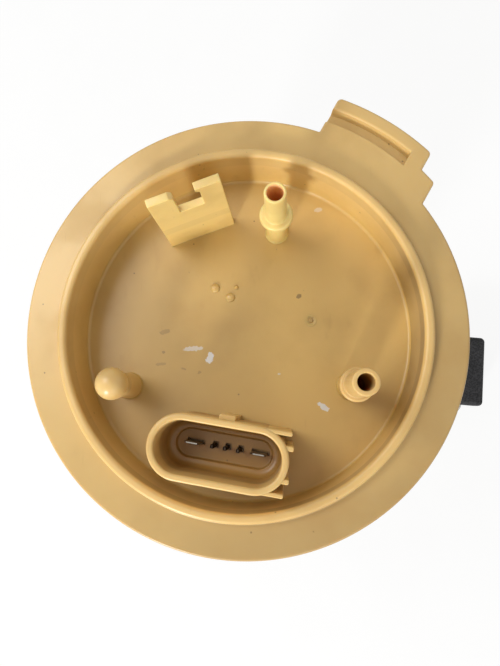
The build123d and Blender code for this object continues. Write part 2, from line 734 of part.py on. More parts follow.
def swirl_pot():
    """Open pot with feet, sleeves, floor ports and the sender's mounting rails."""
    body = pot_prism(POT_R, FLAT_AT, POT_BOTTOM, POT_TOP)
    body -= pot_prism(POT_R - POT_WALL, FLAT_AT - POT_WALL, POT_FLOOR_TOP, POT_TOP + CUT)
    body += guide_sleeves() + pot_feet()
    body += snap_blocks(POT_R - POT_WALL / 2, POT_R + SNAP_OUT,
                        SNAP_W - 2 * AIR_GAP, SNAP_H - 2 * AIR_GAP)
    body -= disc(FILL_STEM_R + AIR_GAP, POT_BOTTOM - CUT, POT_FLOOR_TOP + CUT, FILL_AT)
    for step in range(FILL_PORTS):
        port = polar(FILL_PORT_AT, 360 / FILL_PORTS * step)
        body -= disc(FILL_PORT_R, POT_BOTTOM - CUT, POT_FLOOR_TOP + CUT,
                     (FILL_AT[0] + port[0], FILL_AT[1] + port[1]))
    body -= disc(JET_SUCTION_R, POT_BOTTOM - CUT, POT_FLOOR_TOP + CUT, (JET_X, JET_AT[1]))
    return body


save("swirl_pot", swirl_pot())


def pot_cover():
    """Snap-on cover with its skirt, ribs and openings."""
    skirt_r = POT_R + AIR_GAP + SKIRT_T
    skirt_flat = FLAT_AT + AIR_GAP + SKIRT_T
    body = pot_prism(skirt_r, skirt_flat, POT_TOP - SKIRT_H, COVER_TOP)
    body -= pot_prism(POT_R + AIR_GAP, FLAT_AT + AIR_GAP, POT_TOP - SKIRT_H - CUT, POT_TOP)
    body -= snap_blocks(POT_R - POT_WALL, POT_R + 2 * SKIRT_H, SNAP_W, SNAP_H)
    hub = PUMP_HOLE_R + COVER_RIB_T
    body += disc(hub, COVER_TOP, COVER_TOP + COVER_RIB_H, PUMP_AT)
    reach = hypot(ROD_X, ROD_Y) - BUSH_HEAD_R - AIR_GAP
    for angle in LONG_RIB_ANGLES + SHORT_RIB_ANGLES:
        length = POT_R - hub
        if angle in SHORT_RIB_ANGLES:
            length = reach - hub
        rib = slab(length, COVER_RIB_T, COVER_TOP - CUT, COVER_TOP + COVER_RIB_H)
        body += Pos(PUMP_AT[0], PUMP_AT[1]) * Rot(0, 0, angle) * Pos(hub + length / 2 - CUT, 0) * rib
    body = body & pot_prism(skirt_r, skirt_flat, POT_TOP - SKIRT_H, COVER_TOP + 2 * COVER_RIB_H)
    high = COVER_TOP + 2 * COVER_RIB_H
    body -= disc(PUMP_HOLE_R, POT_TOP - CUT, high, PUMP_AT)
    body -= disc(HOSE_HOLE_R, POT_TOP - CUT, high, RETURN_AT)
    for side in (-1, 1):
        body -= disc(BUSH_R + FIT_GAP, POT_TOP - CUT, high, (side * ROD_X, ROD_Y))
    return body


save("pot_cover", pot_cover())

bushes = []
for side in (-1, 1):
    bush_low = COVER_TOP - BUSH_L
    profile = [
        (ROD_R + RUN_GAP, bush_low), (BUSH_R, bush_low), (BUSH_R, COVER_TOP), (BUSH_HEAD_R, COVER_TOP),
        (BUSH_HEAD_R, BUSH_TOP), (ROD_R + RUN_GAP, BUSH_TOP),
    ]
    bushes.append(Pos(side * ROD_X, ROD_Y) * lathe(profile, [(4, BUSH_HEAD_T / 3)]))
save("guide_bushes", *bushes)

# ================================================================ electric pump
PUMP = Pos(PUMP_AT[0], PUMP_AT[1])
SHELL_LOW = POT_FLOOR_TOP + PUMP_UNDER
SHELL_HIGH = POT_TOP - SHELL_BELOW_RIM
CORE_L = SHELL_HIGH - SHELL_LOW - MOTOR_ENDS
BORE_R = SHELL_R - SHELL_WALL
SEAT_R = BORE_R - FIT_GAP
INLET_LOW = SHELL_LOW + SHELL_WALL
INLET_TOP = INLET_LOW + INLET_T
CHAMBER_TOP = INLET_TOP + CHAMBER_T
IMPELLER_LOW = INLET_TOP + SIDE_GAP
CORE_LOW = CHAMBER_TOP + CORE_ABOVE_CHAMBER
CORE_TOP = CORE_LOW + CORE_L
COMMUTATOR_LOW = CORE_TOP + WINDING_T
COMMUTATOR_TOP = COMMUTATOR_LOW + COMMUTATOR_T
CAP_LOW = SHELL_HIGH - SHELL_WALL - CAP_PLUG_L
CAP_TOP = SHELL_HIGH + CAP_H

shell_points = [
    (SHELL_R, SHELL_LOW), (SHELL_R, SHELL_HIGH), (BORE_R - ROLL_IN, SHELL_HIGH),
    (BORE_R - ROLL_IN, SHELL_HIGH - SHELL_WALL), (BORE_R, SHELL_HIGH - SHELL_WALL), (BORE_R, INLET_LOW),
    (BORE_R - ROLL_IN, INLET_LOW), (BORE_R - ROLL_IN, SHELL_LOW),
]
save("pump_shell", PUMP * lathe(shell_points, [(0, SHELL_WALL * 0.8), (1, SHELL_WALL * 0.8)]))


def side_channel(top):
    """Ring-shaped flow channel cut into a chamber wall, open over most of a turn."""
    inner = IMPELLER_R - VANE_DEPTH / 2 - CHANNEL_W / 2
    outer = inner + CHANNEL_W
    return sector(inner, outer, CHANNEL_FROM, CHANNEL_TO, top - CHANNEL_DEPTH, top + CHANNEL_DEPTH)


def inlet_cover():
    """Inlet cover with its port and flow channel."""
    body = disc(SEAT_R, INLET_LOW, INLET_TOP)
    body += disc(INLET_R, INLET_LOW - INLET_L, INLET_LOW, (INLET_OFFSET, 0))
    body -= disc(INLET_BORE_R, INLET_LOW - INLET_L - CUT, INLET_TOP - CHANNEL_DEPTH, (INLET_OFFSET, 0))
    port = polar(IMPELLER_R - VANE_DEPTH / 2, 20)
    body -= disc(CHANNEL_W / 2, INLET_TOP - CHANNEL_DEPTH - CUT, INLET_TOP + CUT, port)
    body -= disc(SHAFT_R + AIR_GAP, INLET_TOP - SHAFT_R, INLET_TOP + CUT)
    return PUMP * (body - side_channel(INLET_TOP))


def chamber_plate():
    """Upper chamber wall: the impeller's recess, the channel, the outlet port and a bearing seat."""
    recess = INLET_TOP + IMPELLER_T + 2 * SIDE_GAP
    body = disc(SEAT_R, INLET_TOP, CHAMBER_TOP)
    body -= disc(IMPELLER_R + SIDE_GAP, INLET_TOP - CUT, recess)
    body -= side_channel(recess)
    body -= disc(CHANNEL_W / 2, recess - CUT, CHAMBER_TOP + CUT, polar(IMPELLER_R - VANE_DEPTH / 2, 330))
    body -= disc(BEARING_R + FIT_GAP, CHAMBER_TOP - BEARING_L / 2, CHAMBER_TOP + CUT)
    return PUMP * (body - disc(SHAFT_R + AIR_GAP, recess - CUT, CHAMBER_TOP))


def impeller():
    """Turbine wheel with open vane pockets round its rim."""
    high = IMPELLER_LOW + IMPELLER_T
    cut_low = IMPELLER_LOW - CUT
    body = disc(IMPELLER_R, IMPELLER_LOW, high) - disc(SHAFT_R + FIT_GAP / 2, cut_low, high + CUT)
    pocket = Pos(IMPELLER_R - VANE_DEPTH / 2, 0) * slab(VANE_DEPTH + CUT, VANE_SLOT, cut_low, high + CUT)
    for step in range(VANES):
        body -= Rot(0, 0, 360 / VANES * step) * Pos(CUT / 2, 0) * pocket
    return PUMP * body


def bearing(low):
    """Sintered sleeve bearing."""
    return PUMP * tube(BEARING_R, SHAFT_R + RUN_GAP, low, low + BEARING_L)


def armature():
    """Slotted core of the armature."""
    body = tube(CORE_R, SHAFT_R + FIT_GAP / 2, CORE_LOW, CORE_TOP)
    slot = slab(CORE_SLOT_DEPTH + CUT, CORE_SLOT_W, CORE_LOW - CUT, CORE_TOP + CUT)
    slot = Pos(CORE_R - CORE_SLOT_DEPTH / 2, 0) * slot
    for step in range(CORE_SLOTS):
        body -= Rot(0, 0, 360 / CORE_SLOTS * step) * slot
    return PUMP * body


def winding_head(low, high):
    """Rounded bundle of wire at one end of the core."""
    outer = CORE_R - CORE_SLOT_DEPTH / 2
    inner = SHAFT_R + COLLAR_WALL
    points = [(inner, low), (outer, low), (outer, high), (inner, high)]
    return PUMP * lathe(points, [(1, WINDING_T / 3), (2, WINDING_T / 3)])


def commutator():
    """Flat-face commutator split into segments."""
    body = tube(COMMUTATOR_R, SHAFT_R + FIT_GAP / 2, COMMUTATOR_LOW, COMMUTATOR_TOP)
    cut_low = COMMUTATOR_TOP - COMMUTATOR_T / 2
    for step in range(CORE_SLOTS // 2):
        cut = slab(2 * COMMUTATOR_R + CUT, COMMUTATOR_SLOT, cut_low, COMMUTATOR_TOP + CUT)
        body -= Rot(0, 0, 360 / CORE_SLOTS * (step + 0.5)) * cut
    return PUMP * body


SHAFT_LOW = INLET_TOP - SHAFT_R + AIR_GAP
BEARING_LOW = CHAMBER_TOP - BEARING_L / 2
CAP_PLATE_LOW = CAP_TOP - CAP_WALL
UPPER_BEARING_LOW = CAP_PLATE_LOW - BEARING_L
SHAFT_HIGH = UPPER_BEARING_LOW + BEARING_L - AIR_GAP
save("inlet_cover", inlet_cover())
save("chamber_plate", chamber_plate())
save("impeller", impeller())
save("motor_shaft", PUMP * disc(SHAFT_R, SHAFT_LOW, SHAFT_HIGH))
save("armature_core", armature())
save("armature_windings",
     winding_head(CORE_LOW - WINDING_T, CORE_LOW),
     winding_head(CORE_TOP, COMMUTATOR_LOW))
save("commutator", commutator())
save("lower_bearing", bearing(BEARING_LOW))
save("upper_bearing", bearing(UPPER_BEARING_LOW))

magnets = []
for start in (90 - MAGNET_ANGLE / 2, 270 - MAGNET_ANGLE / 2):
    magnets.append(PUMP * sector(SEAT_R - MAGNET_T, SEAT_R, start, start + MAGNET_ANGLE,
                                 CORE_LOW - MAGNET_EXTRA, CORE_TOP + MAGNET_EXTRA))
save("motor_magnets", *magnets)

BRUSH_TOP = COMMUTATOR_TOP + AIR_GAP + BRUSH_L
brushes = []
brush_springs = []
for side in (-1, 1):
    place = PUMP * Pos(0, side * BRUSH_OFF)
    brushes.append(place * slab(BRUSH_W, BRUSH_D, COMMUTATOR_TOP + AIR_GAP, BRUSH_TOP))
    brush_springs.append(place * coil(BRUSH_SPRING_R, BRUSH_SPRING_WIRE_R, BRUSH_TOP + FIT_GAP,
                                      CAP_PLATE_LOW - FIT_GAP, BRUSH_SPRING_TURNS))
save("motor_brushes", *brushes)
save("brush_springs", *brush_springs)

OUTLET_TOP = CAP_TOP + OUTLET_H
SEAT_Z = CAP_TOP - CAP_WALL / 2
BARB_Z = COVER_TOP + COVER_RIB_H + HOSE_R + AIR_GAP


def end_cap():
    """Outlet end cap: motor cover, brush guides, bearing seat, valve chamber and outlet barb."""
    body = disc(SEAT_R, CAP_LOW, SHELL_HIGH - SHELL_WALL) + disc(CAP_R, CAP_LOW, CAP_TOP)
    body -= disc(CAP_R - CAP_WALL, CAP_LOW - CUT, CAP_PLATE_LOW)
    guide_low = COMMUTATOR_TOP + AIR_GAP + BRUSH_L / 2
    for side in (-1, 1):
        place = Pos(0, side * BRUSH_OFF)
        body += place * slab(BRUSH_W + 2 * CAP_WALL, BRUSH_D + CAP_WALL, guide_low, CAP_PLATE_LOW)
    body += disc(BEARING_R + CAP_WALL / 2, UPPER_BEARING_LOW, CAP_PLATE_LOW)
    body -= disc(BEARING_R + FIT_GAP, UPPER_BEARING_LOW - CUT, CAP_PLATE_LOW)
    guide = slab(BRUSH_W + 2 * FIT_GAP, BRUSH_D + 2 * FIT_GAP, guide_low - CUT, CAP_PLATE_LOW)
    for side in (-1, 1):
        body -= Pos(0, side * BRUSH_OFF) * guide
    outlet = disc(OUTLET_R, CAP_PLATE_LOW, OUTLET_TOP, (OUTLET_OFFSET, 0))
    outlet = fillet(outlet.edges().group_by(Axis.Z)[-1], OUTLET_R / 4)
    body += outlet
    body -= disc(VALVE_CHAMBER_R, SEAT_Z, OUTLET_TOP - CAP_WALL, (OUTLET_OFFSET, 0))
    body -= disc(VALVE_SEAT_BORE_R, CAP_PLATE_LOW - CUT, SEAT_Z + CUT, (OUTLET_OFFSET, 0))
    across = disc(BARB_BORE_R, 0, OUTLET_R + CUT)
    body -= Pos(OUTLET_OFFSET, 0, BARB_Z) * Rot(0, -90, 0) * across
    nipple = Pos(OUTLET_OFFSET - OUTLET_R + BARB_BORE_R, 0, BARB_Z) * Rot(0, -90, 0) * barb(NIPPLE_ROOT_L)
    return PUMP * (body + nipple)


save("pump_end_cap", end_cap())

valve_points = [
    (0, SEAT_Z), (VALVE_R, SEAT_Z), (VALVE_R, SEAT_Z + VALVE_T), (VALVE_STEM_R, SEAT_Z + VALVE_T),
    (VALVE_STEM_R, SEAT_Z + VALVE_T + VALVE_STEM_L), (0, SEAT_Z + VALVE_T + VALVE_STEM_L),
]
outlet_place = PUMP * Pos(OUTLET_OFFSET, 0)
save("outlet_valve", outlet_place * lathe(valve_points, [(2, VALVE_T / 3)]))
save("outlet_valve_spring", outlet_place * coil(
    VALVE_SPRING_R, VALVE_SPRING_WIRE_R, SEAT_Z + VALVE_T + FIT_GAP, OUTLET_TOP - CAP_WALL - FIT_GAP,
    VALVE_SPRING_TURNS))

plug_place = PUMP * Pos(POWER_PLUG_AT[0], POWER_PLUG_AT[1])
plug_body = slab(POWER_PLUG_L, POWER_PLUG_W, CAP_TOP, CAP_TOP + POWER_PLUG_H)
save("pump_plug", plug_place * fillet(plug_body.edges().filter_by(Axis.Z), POWER_PLUG_W / 6))

# upper isolator: rubber sleeve between the end cap and the cover
isolator_low = SHELL_HIGH + FIT_GAP
isolator_r = PUMP_HOLE_R - FIT_GAP
isolator_points = [
    (CAP_R + FIT_GAP, isolator_low), (isolator_r, isolator_low), (isolator_r, POT_TOP),
    (isolator_r - ISOLATOR_GROOVE, (POT_TOP + COVER_TOP) / 2), (isolator_r, COVER_TOP),
    (isolator_r, CAP_TOP), (CAP_R + FIT_GAP, CAP_TOP),
]
save("pump_isolator", PUMP * lathe(isolator_points))

# ================================================================ cradle, foot ring and strainer
LEDGE_TOP = SHELL_LOW - FOOT_RING_T


def pump_cradle():
    """Cup on four legs that holds the pump's lower end above the pot floor."""
    inner = SHELL_R + AIR_GAP
    outer = inner + CRADLE_WALL
    body = tube(outer, inner, LEDGE_TOP, LEDGE_TOP + CRADLE_H)
    body += tube(outer, LEDGE_R, LEDGE_TOP - LEDGE_T, LEDGE_TOP)
    for angle in LEG_ANGLES:
        start = angle - LEG_SPREAD / 2
        body += sector(inner - LEDGE_T, outer, start, start + LEG_SPREAD, POT_FLOOR_TOP, LEDGE_TOP - LEDGE_T)
    return PUMP * body


save("pump_cradle", pump_cradle())
save("pump_foot_ring", PUMP * tube(SHELL_R, LEDGE_R + CRADLE_WALL, LEDGE_TOP, SHELL_LOW))

bag_low = POT_FLOOR_TOP + BAG_REST
bag_top = bag_low + BAG_T
collar_top = INLET_LOW - AIR_GAP
bag = Pos(INLET_OFFSET + BAG_SHIFT, 0) * oval(BAG_L, BAG_W, bag_low, bag_top)
bag = fillet(bag.edges().group_by(Axis.Z)[-1] + bag.edges().group_by(Axis.Z)[0], BAG_ROUND)
nipple_space = disc(INLET_R + FIT_GAP, INLET_LOW - INLET_L - FIT_GAP, bag_top + CUT, (INLET_OFFSET, 0))
save("strainer_bag", PUMP * (bag - nipple_space))
save("strainer_collar", PUMP * tube(INLET_R + FIT_GAP + COLLAR_WALL, INLET_R + FIT_GAP, bag_top, collar_top,
                                    (INLET_OFFSET, 0)))

# ================================================================ jet pump and first-fill valve
JET_Z = POT_FLOOR_TOP + JET_R
RISER_TOP = JET_Z + JET_R + JET_RISER_H


def jet_pump():
    """Jet pump body on the pot floor: riser from the return hose, suction port and mixing tube."""
    along = Rot(0, -90, 0)
    body = along * disc(JET_R, -JET_R, JET_L)
    foot = Pos(-(JET_L - JET_R) / 2, 0) * slab(JET_L + JET_R, JET_FOOT_W, -JET_R, 0)
    body += foot + disc(JET_RISER_R, 0, RISER_TOP - JET_Z)
    body -= along * disc(JET_BORE_R, NOZZLE_L - CUT, JET_L + CUT)
    body -= along * disc(JET_BORE_R + FIT_GAP, -JET_BORE_R, NOZZLE_L)
    body -= disc(BARB_BORE_R, 0, RISER_TOP - JET_Z)
    body -= disc(JET_SUCTION_R - AIR_GAP, -JET_R - CUT, 0, (-NOZZLE_L, 0))
    riser = Pos(0, 0, RISER_TOP - JET_Z) * barb(NIPPLE_ROOT_L)
    return Pos(JET_AT[0], JET_AT[1], JET_Z) * (body + riser)


def jet_nozzle():
    """Brass nozzle pressed into the jet pump, pointing into the mixing tube."""
    start = BARB_BORE_R + AIR_GAP
    tip = NOZZLE_L + CUT
    points = [
        (NOZZLE_BORE_R, tip), (2 * NOZZLE_BORE_R, tip), (JET_BORE_R, tip - 3 * CUT),
        (JET_BORE_R, start), (BARB_BORE_R, start), (BARB_BORE_R, tip - 4 * CUT),
    ]
    return Pos(JET_AT[0], JET_AT[1], JET_Z) * Rot(0, -90, 0) * lathe(points)


save("jet_pump_body", jet_pump())
save("jet_nozzle", jet_nozzle())

fill_head = POT_BOTTOM - FILL_LIFT
fill_points = [
    (0, POT_FLOOR_TOP + FILL_T), (0, fill_head - FILL_T), (FILL_HEAD_R, fill_head - FILL_T),
    (FILL_HEAD_R, fill_head), (FILL_STEM_R, fill_head), (FILL_STEM_R, POT_FLOOR_TOP),
    (FILL_R, POT_FLOOR_TOP), (FILL_R, POT_FLOOR_TOP + FILL_T / 2),
]
save("fill_valve", Pos(FILL_AT[0], FILL_AT[1]) * lathe(fill_points))

# ================================================================ level sender
SENDER_TOP = POT_TOP - SKIRT_H - SENDER_TOP_BELOW
SENDER_LOW = SENDER_TOP - SENDER_H
PIVOT_Z = SENDER_LOW + PIVOT_UP
SENDER_FACE = -FLAT_AT - SENDER_D
HUB_FACE = SENDER_FACE - AIR_GAP
ARM_Y = HUB_FACE - HUB_T + WIRE_R
FLOAT_Z = BASE_Z + FLOAT_UP
ARM_RISE = FLOAT_Z - PIVOT_Z
ARM_L = hypot(FLOAT_X, ARM_RISE)
ARM_TILT = degrees(atan2(ARM_RISE, FLOAT_X))
PIVOT = YAW * Pos(0, 0, PIVOT_Z)
WIPER_TURN = Rot(0, ARM_SWING / 2, 0)    # the fingers sweep evenly to both sides of the card's middle
TO_FRONT = Rot(90, 0, 0)    # turns an upright solid so that it points to the sender's -Y


def front_disc(radius, near, far, at=(0, 0)):
    """Cylinder along the sender's Y, from y = -near to y = -far, at (x, z) from the pivot."""
    return Pos(at[0], 0, at[1]) * TO_FRONT * disc(radius, near, far)


def sender_housing():
    """Tray on the pot's flat side with the card pocket, the pivot boss and two stops."""
    depth = -SENDER_FACE - FLAT_AT
    tray = Box(SENDER_W, depth, SENDER_H, align=(Align.CENTER, Align.MAX, Align.MIN))
    tray = fillet(tray.edges().filter_by(Axis.Y), SENDER_ROUND)
    tray = Pos(0, -FLAT_AT, SENDER_LOW - PIVOT_Z) * tray
    pocket_h = SENDER_H - PIVOT_UP - PIVOT_BOSS_R - SENDER_WALL
    inward = (Align.CENTER, Align.MAX, Align.MIN)
    pocket = Box(SENDER_W - 2 * SENDER_WALL, depth, pocket_h, align=inward)
    tray -= Pos(0, -FLAT_AT - SENDER_WALL, PIVOT_BOSS_R) * pocket
    lower_h = PIVOT_UP - PIVOT_BOSS_R - SENDER_WALL
    recess = Box(SENDER_W / 2 - 2 * SENDER_WALL, depth, lower_h, align=inward)
    for side in (-1, 1):
        tray -= Pos(side * SENDER_W / 4, -FLAT_AT - SENDER_WALL, SENDER_LOW - PIVOT_Z + SENDER_WALL) * recess
    tray -= front_disc(PIVOT_R + RUN_GAP, FLAT_AT + SENDER_WALL, -SENDER_FACE + CUT)
    stop_x = SENDER_W / 2 - STOP_R
    beside = WIRE_R + AIR_GAP + STOP_R
    for angle, side in ((ARM_TILT, -1), (ARM_TILT + ARM_SWING, 1)):
        stop_z = stop_x * tan(radians(angle)) + side * beside / cos(radians(angle))
        tray += front_disc(STOP_R, FLAT_AT, -ARM_Y + WIRE_R, (stop_x, stop_z))
    return PIVOT * tray


def wiper_hub():
    """Rotating hub: pin in the housing, and a front disc with the groove that grips the arm."""
    pin_end = FLAT_AT + SENDER_WALL + AIR_GAP
    body = front_disc(PIVOT_R, pin_end, -HUB_FACE + CUT)
    body += front_disc(HUB_R, -HUB_FACE, -HUB_FACE + HUB_T)
    groove_h = 2 * WIRE_R + 2 * FIT_GAP
    groove = Box(2 * HUB_R, 2 * WIRE_R + CUT, groove_h, align=(Align.MIN, Align.MAX, Align.CENTER))
    groove = Pos(-PIVOT_R - FIT_GAP, ARM_Y + WIRE_R + FIT_GAP) * groove
    body -= Rot(0, -ARM_TILT, 0) * groove
    for side in (-1, 1):
        finger = Box(WIPER_W, WIPER_T, WIPER_REACH - PIVOT_R, align=(Align.CENTER, Align.MIN, Align.MIN))
        body -= WIPER_TURN * Pos(side * WIPER_SPACING / 2, HUB_FACE - WIPER_T, PIVOT_R) * finger
    return PIVOT * body


def wiper_contacts():
    """Two sprung fingers on the hub that run over the card."""
    card_y = -FLAT_AT - SENDER_WALL - CARD_T
    fingers = []
    for side in (-1, 1):
        x = side * WIPER_SPACING / 2
        flat = Box(WIPER_W - 2 * FIT_GAP, WIPER_T, WIPER_REACH - PIVOT_R - FIT_GAP,
                   align=(Align.CENTER, Align.MIN, Align.MIN))
        flat = Pos(x, HUB_FACE - WIPER_T + FIT_GAP / 2, PIVOT_R + FIT_GAP) * flat
        leg_h = 1.2
        reach = card_y - AIR_GAP - HUB_FACE
        leg = Box(WIPER_W - 2 * FIT_GAP, reach, leg_h, align=(Align.CENTER, Align.MIN, Align.MIN))
        leg = Pos(x, HUB_FACE, WIPER_REACH - leg_h) * leg
        fingers.append(PIVOT * WIPER_TURN * (flat + leg))
    return fingers


def float_arm():
    """Bent wire from the hub to the float, with an upset end past the float."""
    side_y = FLOAT_MID - FLOAT_L / 2 - FLOAT_SIDE_GAP - WIRE_R
    end_y = FLOAT_MID + FLOAT_L / 2 + ARM_END_T
    points = [
        (-PIVOT_R, ARM_Y, 0), (ARM_JOG_FROM, ARM_Y, 0), (ARM_JOG_FROM + ARM_JOG_L, side_y, 0),
        (ARM_L, side_y, 0), (ARM_L, end_y, 0),
    ]
    wire = pipe(points, [ARM_BEND_R, ARM_BEND_R, ARM_END_BEND_R], WIRE_R)
    head = Pos(ARM_L, end_y) * Rot(-90, 0, 0) * disc(ARM_END_R, -ARM_END_T / 2, ARM_END_T / 2)
    return PIVOT * Rot(0, -ARM_TILT, 0) * (wire + head)


def float_block():
    """Foam float with the bore that turns on the arm."""
    body = Box(FLOAT_W, FLOAT_L, FLOAT_T)
    body = fillet(body.edges(), FLOAT_ROUND)
    body -= Rot(90, 0, 0) * disc(WIRE_R + RUN_GAP, -FLOAT_L, FLOAT_L)
    return YAW * Pos(FLOAT_X, FLOAT_MID, FLOAT_Z) * body


save("sender_housing", sender_housing())
card = Box(CARD_W, CARD_T, CARD_H, align=(Align.CENTER, Align.MAX, Align.CENTER))
save("sender_card", PIVOT * Pos(0, -FLAT_AT - SENDER_WALL, CARD_ABOVE_PIVOT) * card)
save("wiper_hub", wiper_hub())
save("wiper_contacts", *wiper_contacts())
save("float_arm", float_arm())
save("float", float_block())

# ================================================================ hoses
outlet_y = PUMP_AT[1]
hose_end_x = PUMP_AT[0] + OUTLET_OFFSET - OUTLET_R + BARB_BORE_R - NIPPLE_ROOT_L


def beyond_elbow(distance):
    """Point on the axis of the supply elbow's barb, at a distance from the stem."""
    spot = Pos(SUPPLY_AT[0], SUPPLY_AT[1], ELBOW_Z) * Rot(0, 0, ELBOW_TURN) * Pos(-distance, 0, 0)
    return (spot.position.X, spot.position.Y, spot.position.Z)


supply_route = [beyond_elbow(BARB_ROOT_R + NIPPLE_ROOT_L), beyond_elbow(SUPPLY_STRAIGHT)]
supply_route += [(x, outlet_y + y, BARB_Z + z) for x, y, z in SUPPLY_VIA]
supply_route += [(hose_end_x - SUPPLY_RETURN, outlet_y, BARB_Z), (hose_end_x, outlet_y, BARB_Z)]


def route_radii(points, share=0.45):
    """Largest arc at each corner that its two runs leave room for."""
    radii = []
    for before, here, after in zip(points, points[1:], points[2:]):
        into = Vector(*here) - Vector(*before)
        out = Vector(*after) - Vector(*here)
        half_turn = radians(into.get_angle(out)) / 2
        radii.append(share * min(into.length, out.length) / tan(half_turn))
    return radii


def hose(name, points):
    """Fuel hose along its route; prints its arcs and compares its volume with its section."""
    radii = route_radii(points)
    body = pipe(points, radii, HOSE_R, HOSE_BORE_R)
    length = FilletPolyline(*points, radius=radii).length
    section = pi * (HOSE_R ** 2 - HOSE_BORE_R ** 2)
    print(name, "arcs", [round(r, 1) for r in radii], "length", round(length, 1),
          "volume ratio", round(body.volume / (length * section), 4))
    save(name, body)


hose("supply_hose", supply_route)
return_top = FLOOR_BOTTOM - NIPPLE_ROOT_L
return_low = RISER_TOP + NIPPLE_ROOT_L
return_mid = (POT_TOP + return_low) / 2
return_route = [
    (*RETURN_AT, return_top), (*RETURN_AT, POT_TOP - RETURN_ENTRY),
    (JET_AT[0] + RETURN_BOW[0], JET_AT[1] + RETURN_BOW[1], return_mid + RETURN_BOW[2]),
    (*JET_AT, return_low + RETURN_FOOT), (*JET_AT, return_low),
]
hose("return_hose", return_route)

# ================================================================ wires
def shroud_point(s, n, z):
    """Point given along and across the connector."""
    spot = SHROUD * Pos(ROW_AT[0] + s, ROW_AT[1] + n, z)
    return (spot.position.X, spot.position.Y, spot.position.Z)


def wires(name, routes):
    """Insulated wires, one solid each."""
    bodies = []
    for points in routes:
        radii = route_radii(points)
        body = pipe(points, radii, LEAD_R)
        length = FilletPolyline(*points, radius=radii).length
        print(name, "arcs", [round(r, 1) for r in radii], "length", round(length, 1),
              "volume ratio", round(body.volume / (length * pi * LEAD_R ** 2), 4))
        bodies.append(body)
    save(name, *bodies)


lead_z = POTTING_LOW - INNER_PLUG_H + LEAD_R + CUT
plug_side = INNER_PLUG_W / 2
plug_x = PUMP_AT[0] + POWER_PLUG_AT[0]
plug_y = PUMP_AT[1] + POWER_PLUG_AT[1]
plug_top = CAP_TOP + POWER_PLUG_H
power_routes = []
for side in (-1, 1):
    lane = side * LEAD_SPACING / 2
    start = shroud_point(POWER_LANE + lane, plug_side, lead_z)
    away = shroud_point(POWER_LANE + lane, plug_side + POWER_AWAY, lead_z)
    over = (plug_x + lane + POWER_OVER[0], plug_y + POWER_OVER[1], lead_z + POWER_OVER[2])
    power_routes.append([start, away, over, (plug_x + lane, plug_y, plug_top + LEAD_ENTRY),
                         (plug_x + lane, plug_y, plug_top)])
wires("pump_leads", power_routes)

sender_routes = []
for side in (-1, 0, 1):
    lane = side * LEAD_SPACING
    start = shroud_point(SIGNAL_LANE + lane, -plug_side, lead_z)
    away = shroud_point(SIGNAL_LANE + lane, -plug_side - SIGNAL_AWAY, lead_z)
    entry = YAW * Pos(SENDER_ENTRY + lane, -FLAT_AT - SENDER_D / 2, 0)
    x, y = entry.position.X, entry.position.Y
    high = (x + SIGNAL_HIGH[0], y + SIGNAL_HIGH[1], lead_z + SIGNAL_HIGH[2])
    low = (x + SIGNAL_LOW[0], y + SIGNAL_LOW[1], SENDER_TOP + SIGNAL_LOW[2])
    sender_routes.append([start, away, high, low, (x, y, SENDER_TOP + LEAD_ENTRY), (x, y, SENDER_TOP)])
wires("sender_leads", sender_routes)
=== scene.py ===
import logging
from collections.abc import Sequence
from dataclasses import dataclass, field
from enum import Enum
from functools import reduce
from math import pi, radians

import bmesh
import bpy
import numpy as np
from mathutils import Matrix


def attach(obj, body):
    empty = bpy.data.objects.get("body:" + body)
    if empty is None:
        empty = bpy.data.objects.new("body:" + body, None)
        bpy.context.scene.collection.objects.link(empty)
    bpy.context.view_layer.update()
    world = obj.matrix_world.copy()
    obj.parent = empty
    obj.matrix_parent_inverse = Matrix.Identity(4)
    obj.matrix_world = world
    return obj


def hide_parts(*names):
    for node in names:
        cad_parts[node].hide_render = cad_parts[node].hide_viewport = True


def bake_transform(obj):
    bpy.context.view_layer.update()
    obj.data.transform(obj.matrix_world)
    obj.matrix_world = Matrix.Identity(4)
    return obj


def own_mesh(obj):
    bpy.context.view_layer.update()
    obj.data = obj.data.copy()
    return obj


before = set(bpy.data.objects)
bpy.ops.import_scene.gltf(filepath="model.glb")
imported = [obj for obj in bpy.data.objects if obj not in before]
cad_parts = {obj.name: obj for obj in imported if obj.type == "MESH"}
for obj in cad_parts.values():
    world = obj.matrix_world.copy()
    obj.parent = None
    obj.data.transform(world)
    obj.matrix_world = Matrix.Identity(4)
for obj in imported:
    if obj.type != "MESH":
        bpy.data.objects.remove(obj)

log = logging.getLogger("fuel_pump_module")
Array = np.ndarray
Pair = tuple[float, float]
Point = tuple[float, float, float]
Piece = bpy.types.Object
Socket = bpy.types.NodeSocket

MM = 0.001
# Lengths below this count as none.
TINY = 1e-8
# Edges between faces that meet at a greater angle stay sharp.
SMOOTH_ANGLE = radians(38.0)
# A point times this is its place on the plan.
LEVEL = (1.0, 1.0, 0.0)
# A wave texture of scale s repeats every 0.314 / s.
WAVE_SHARE = 0.314
FLANGE = "flange_assembly"
RESERVOIR = "reservoir_assembly"


# ---------------------------------------------------------------- numbers and outlines
def linear(hex_colour: str) -> tuple[float, float, float, float]:
    """Turn an sRGB hex colour into a linear RGBA tuple, by the standard's own curve.

    Args:
        hex_colour: Six hex digits, with or without a leading hash.

    Returns:
        Red, green, blue and an alpha of one, each linear.
    """
    digits = hex_colour.lstrip("#")
    srgb = np.array([int(digits[i:i + 2], 16) for i in (0, 2, 4)]) / 255.0
    value = np.where(srgb <= 0.04045, srgb / 12.92, ((srgb + 0.055) / 1.055) ** 2.4)
    return float(value[0]), float(value[1]), float(value[2]), 1.0


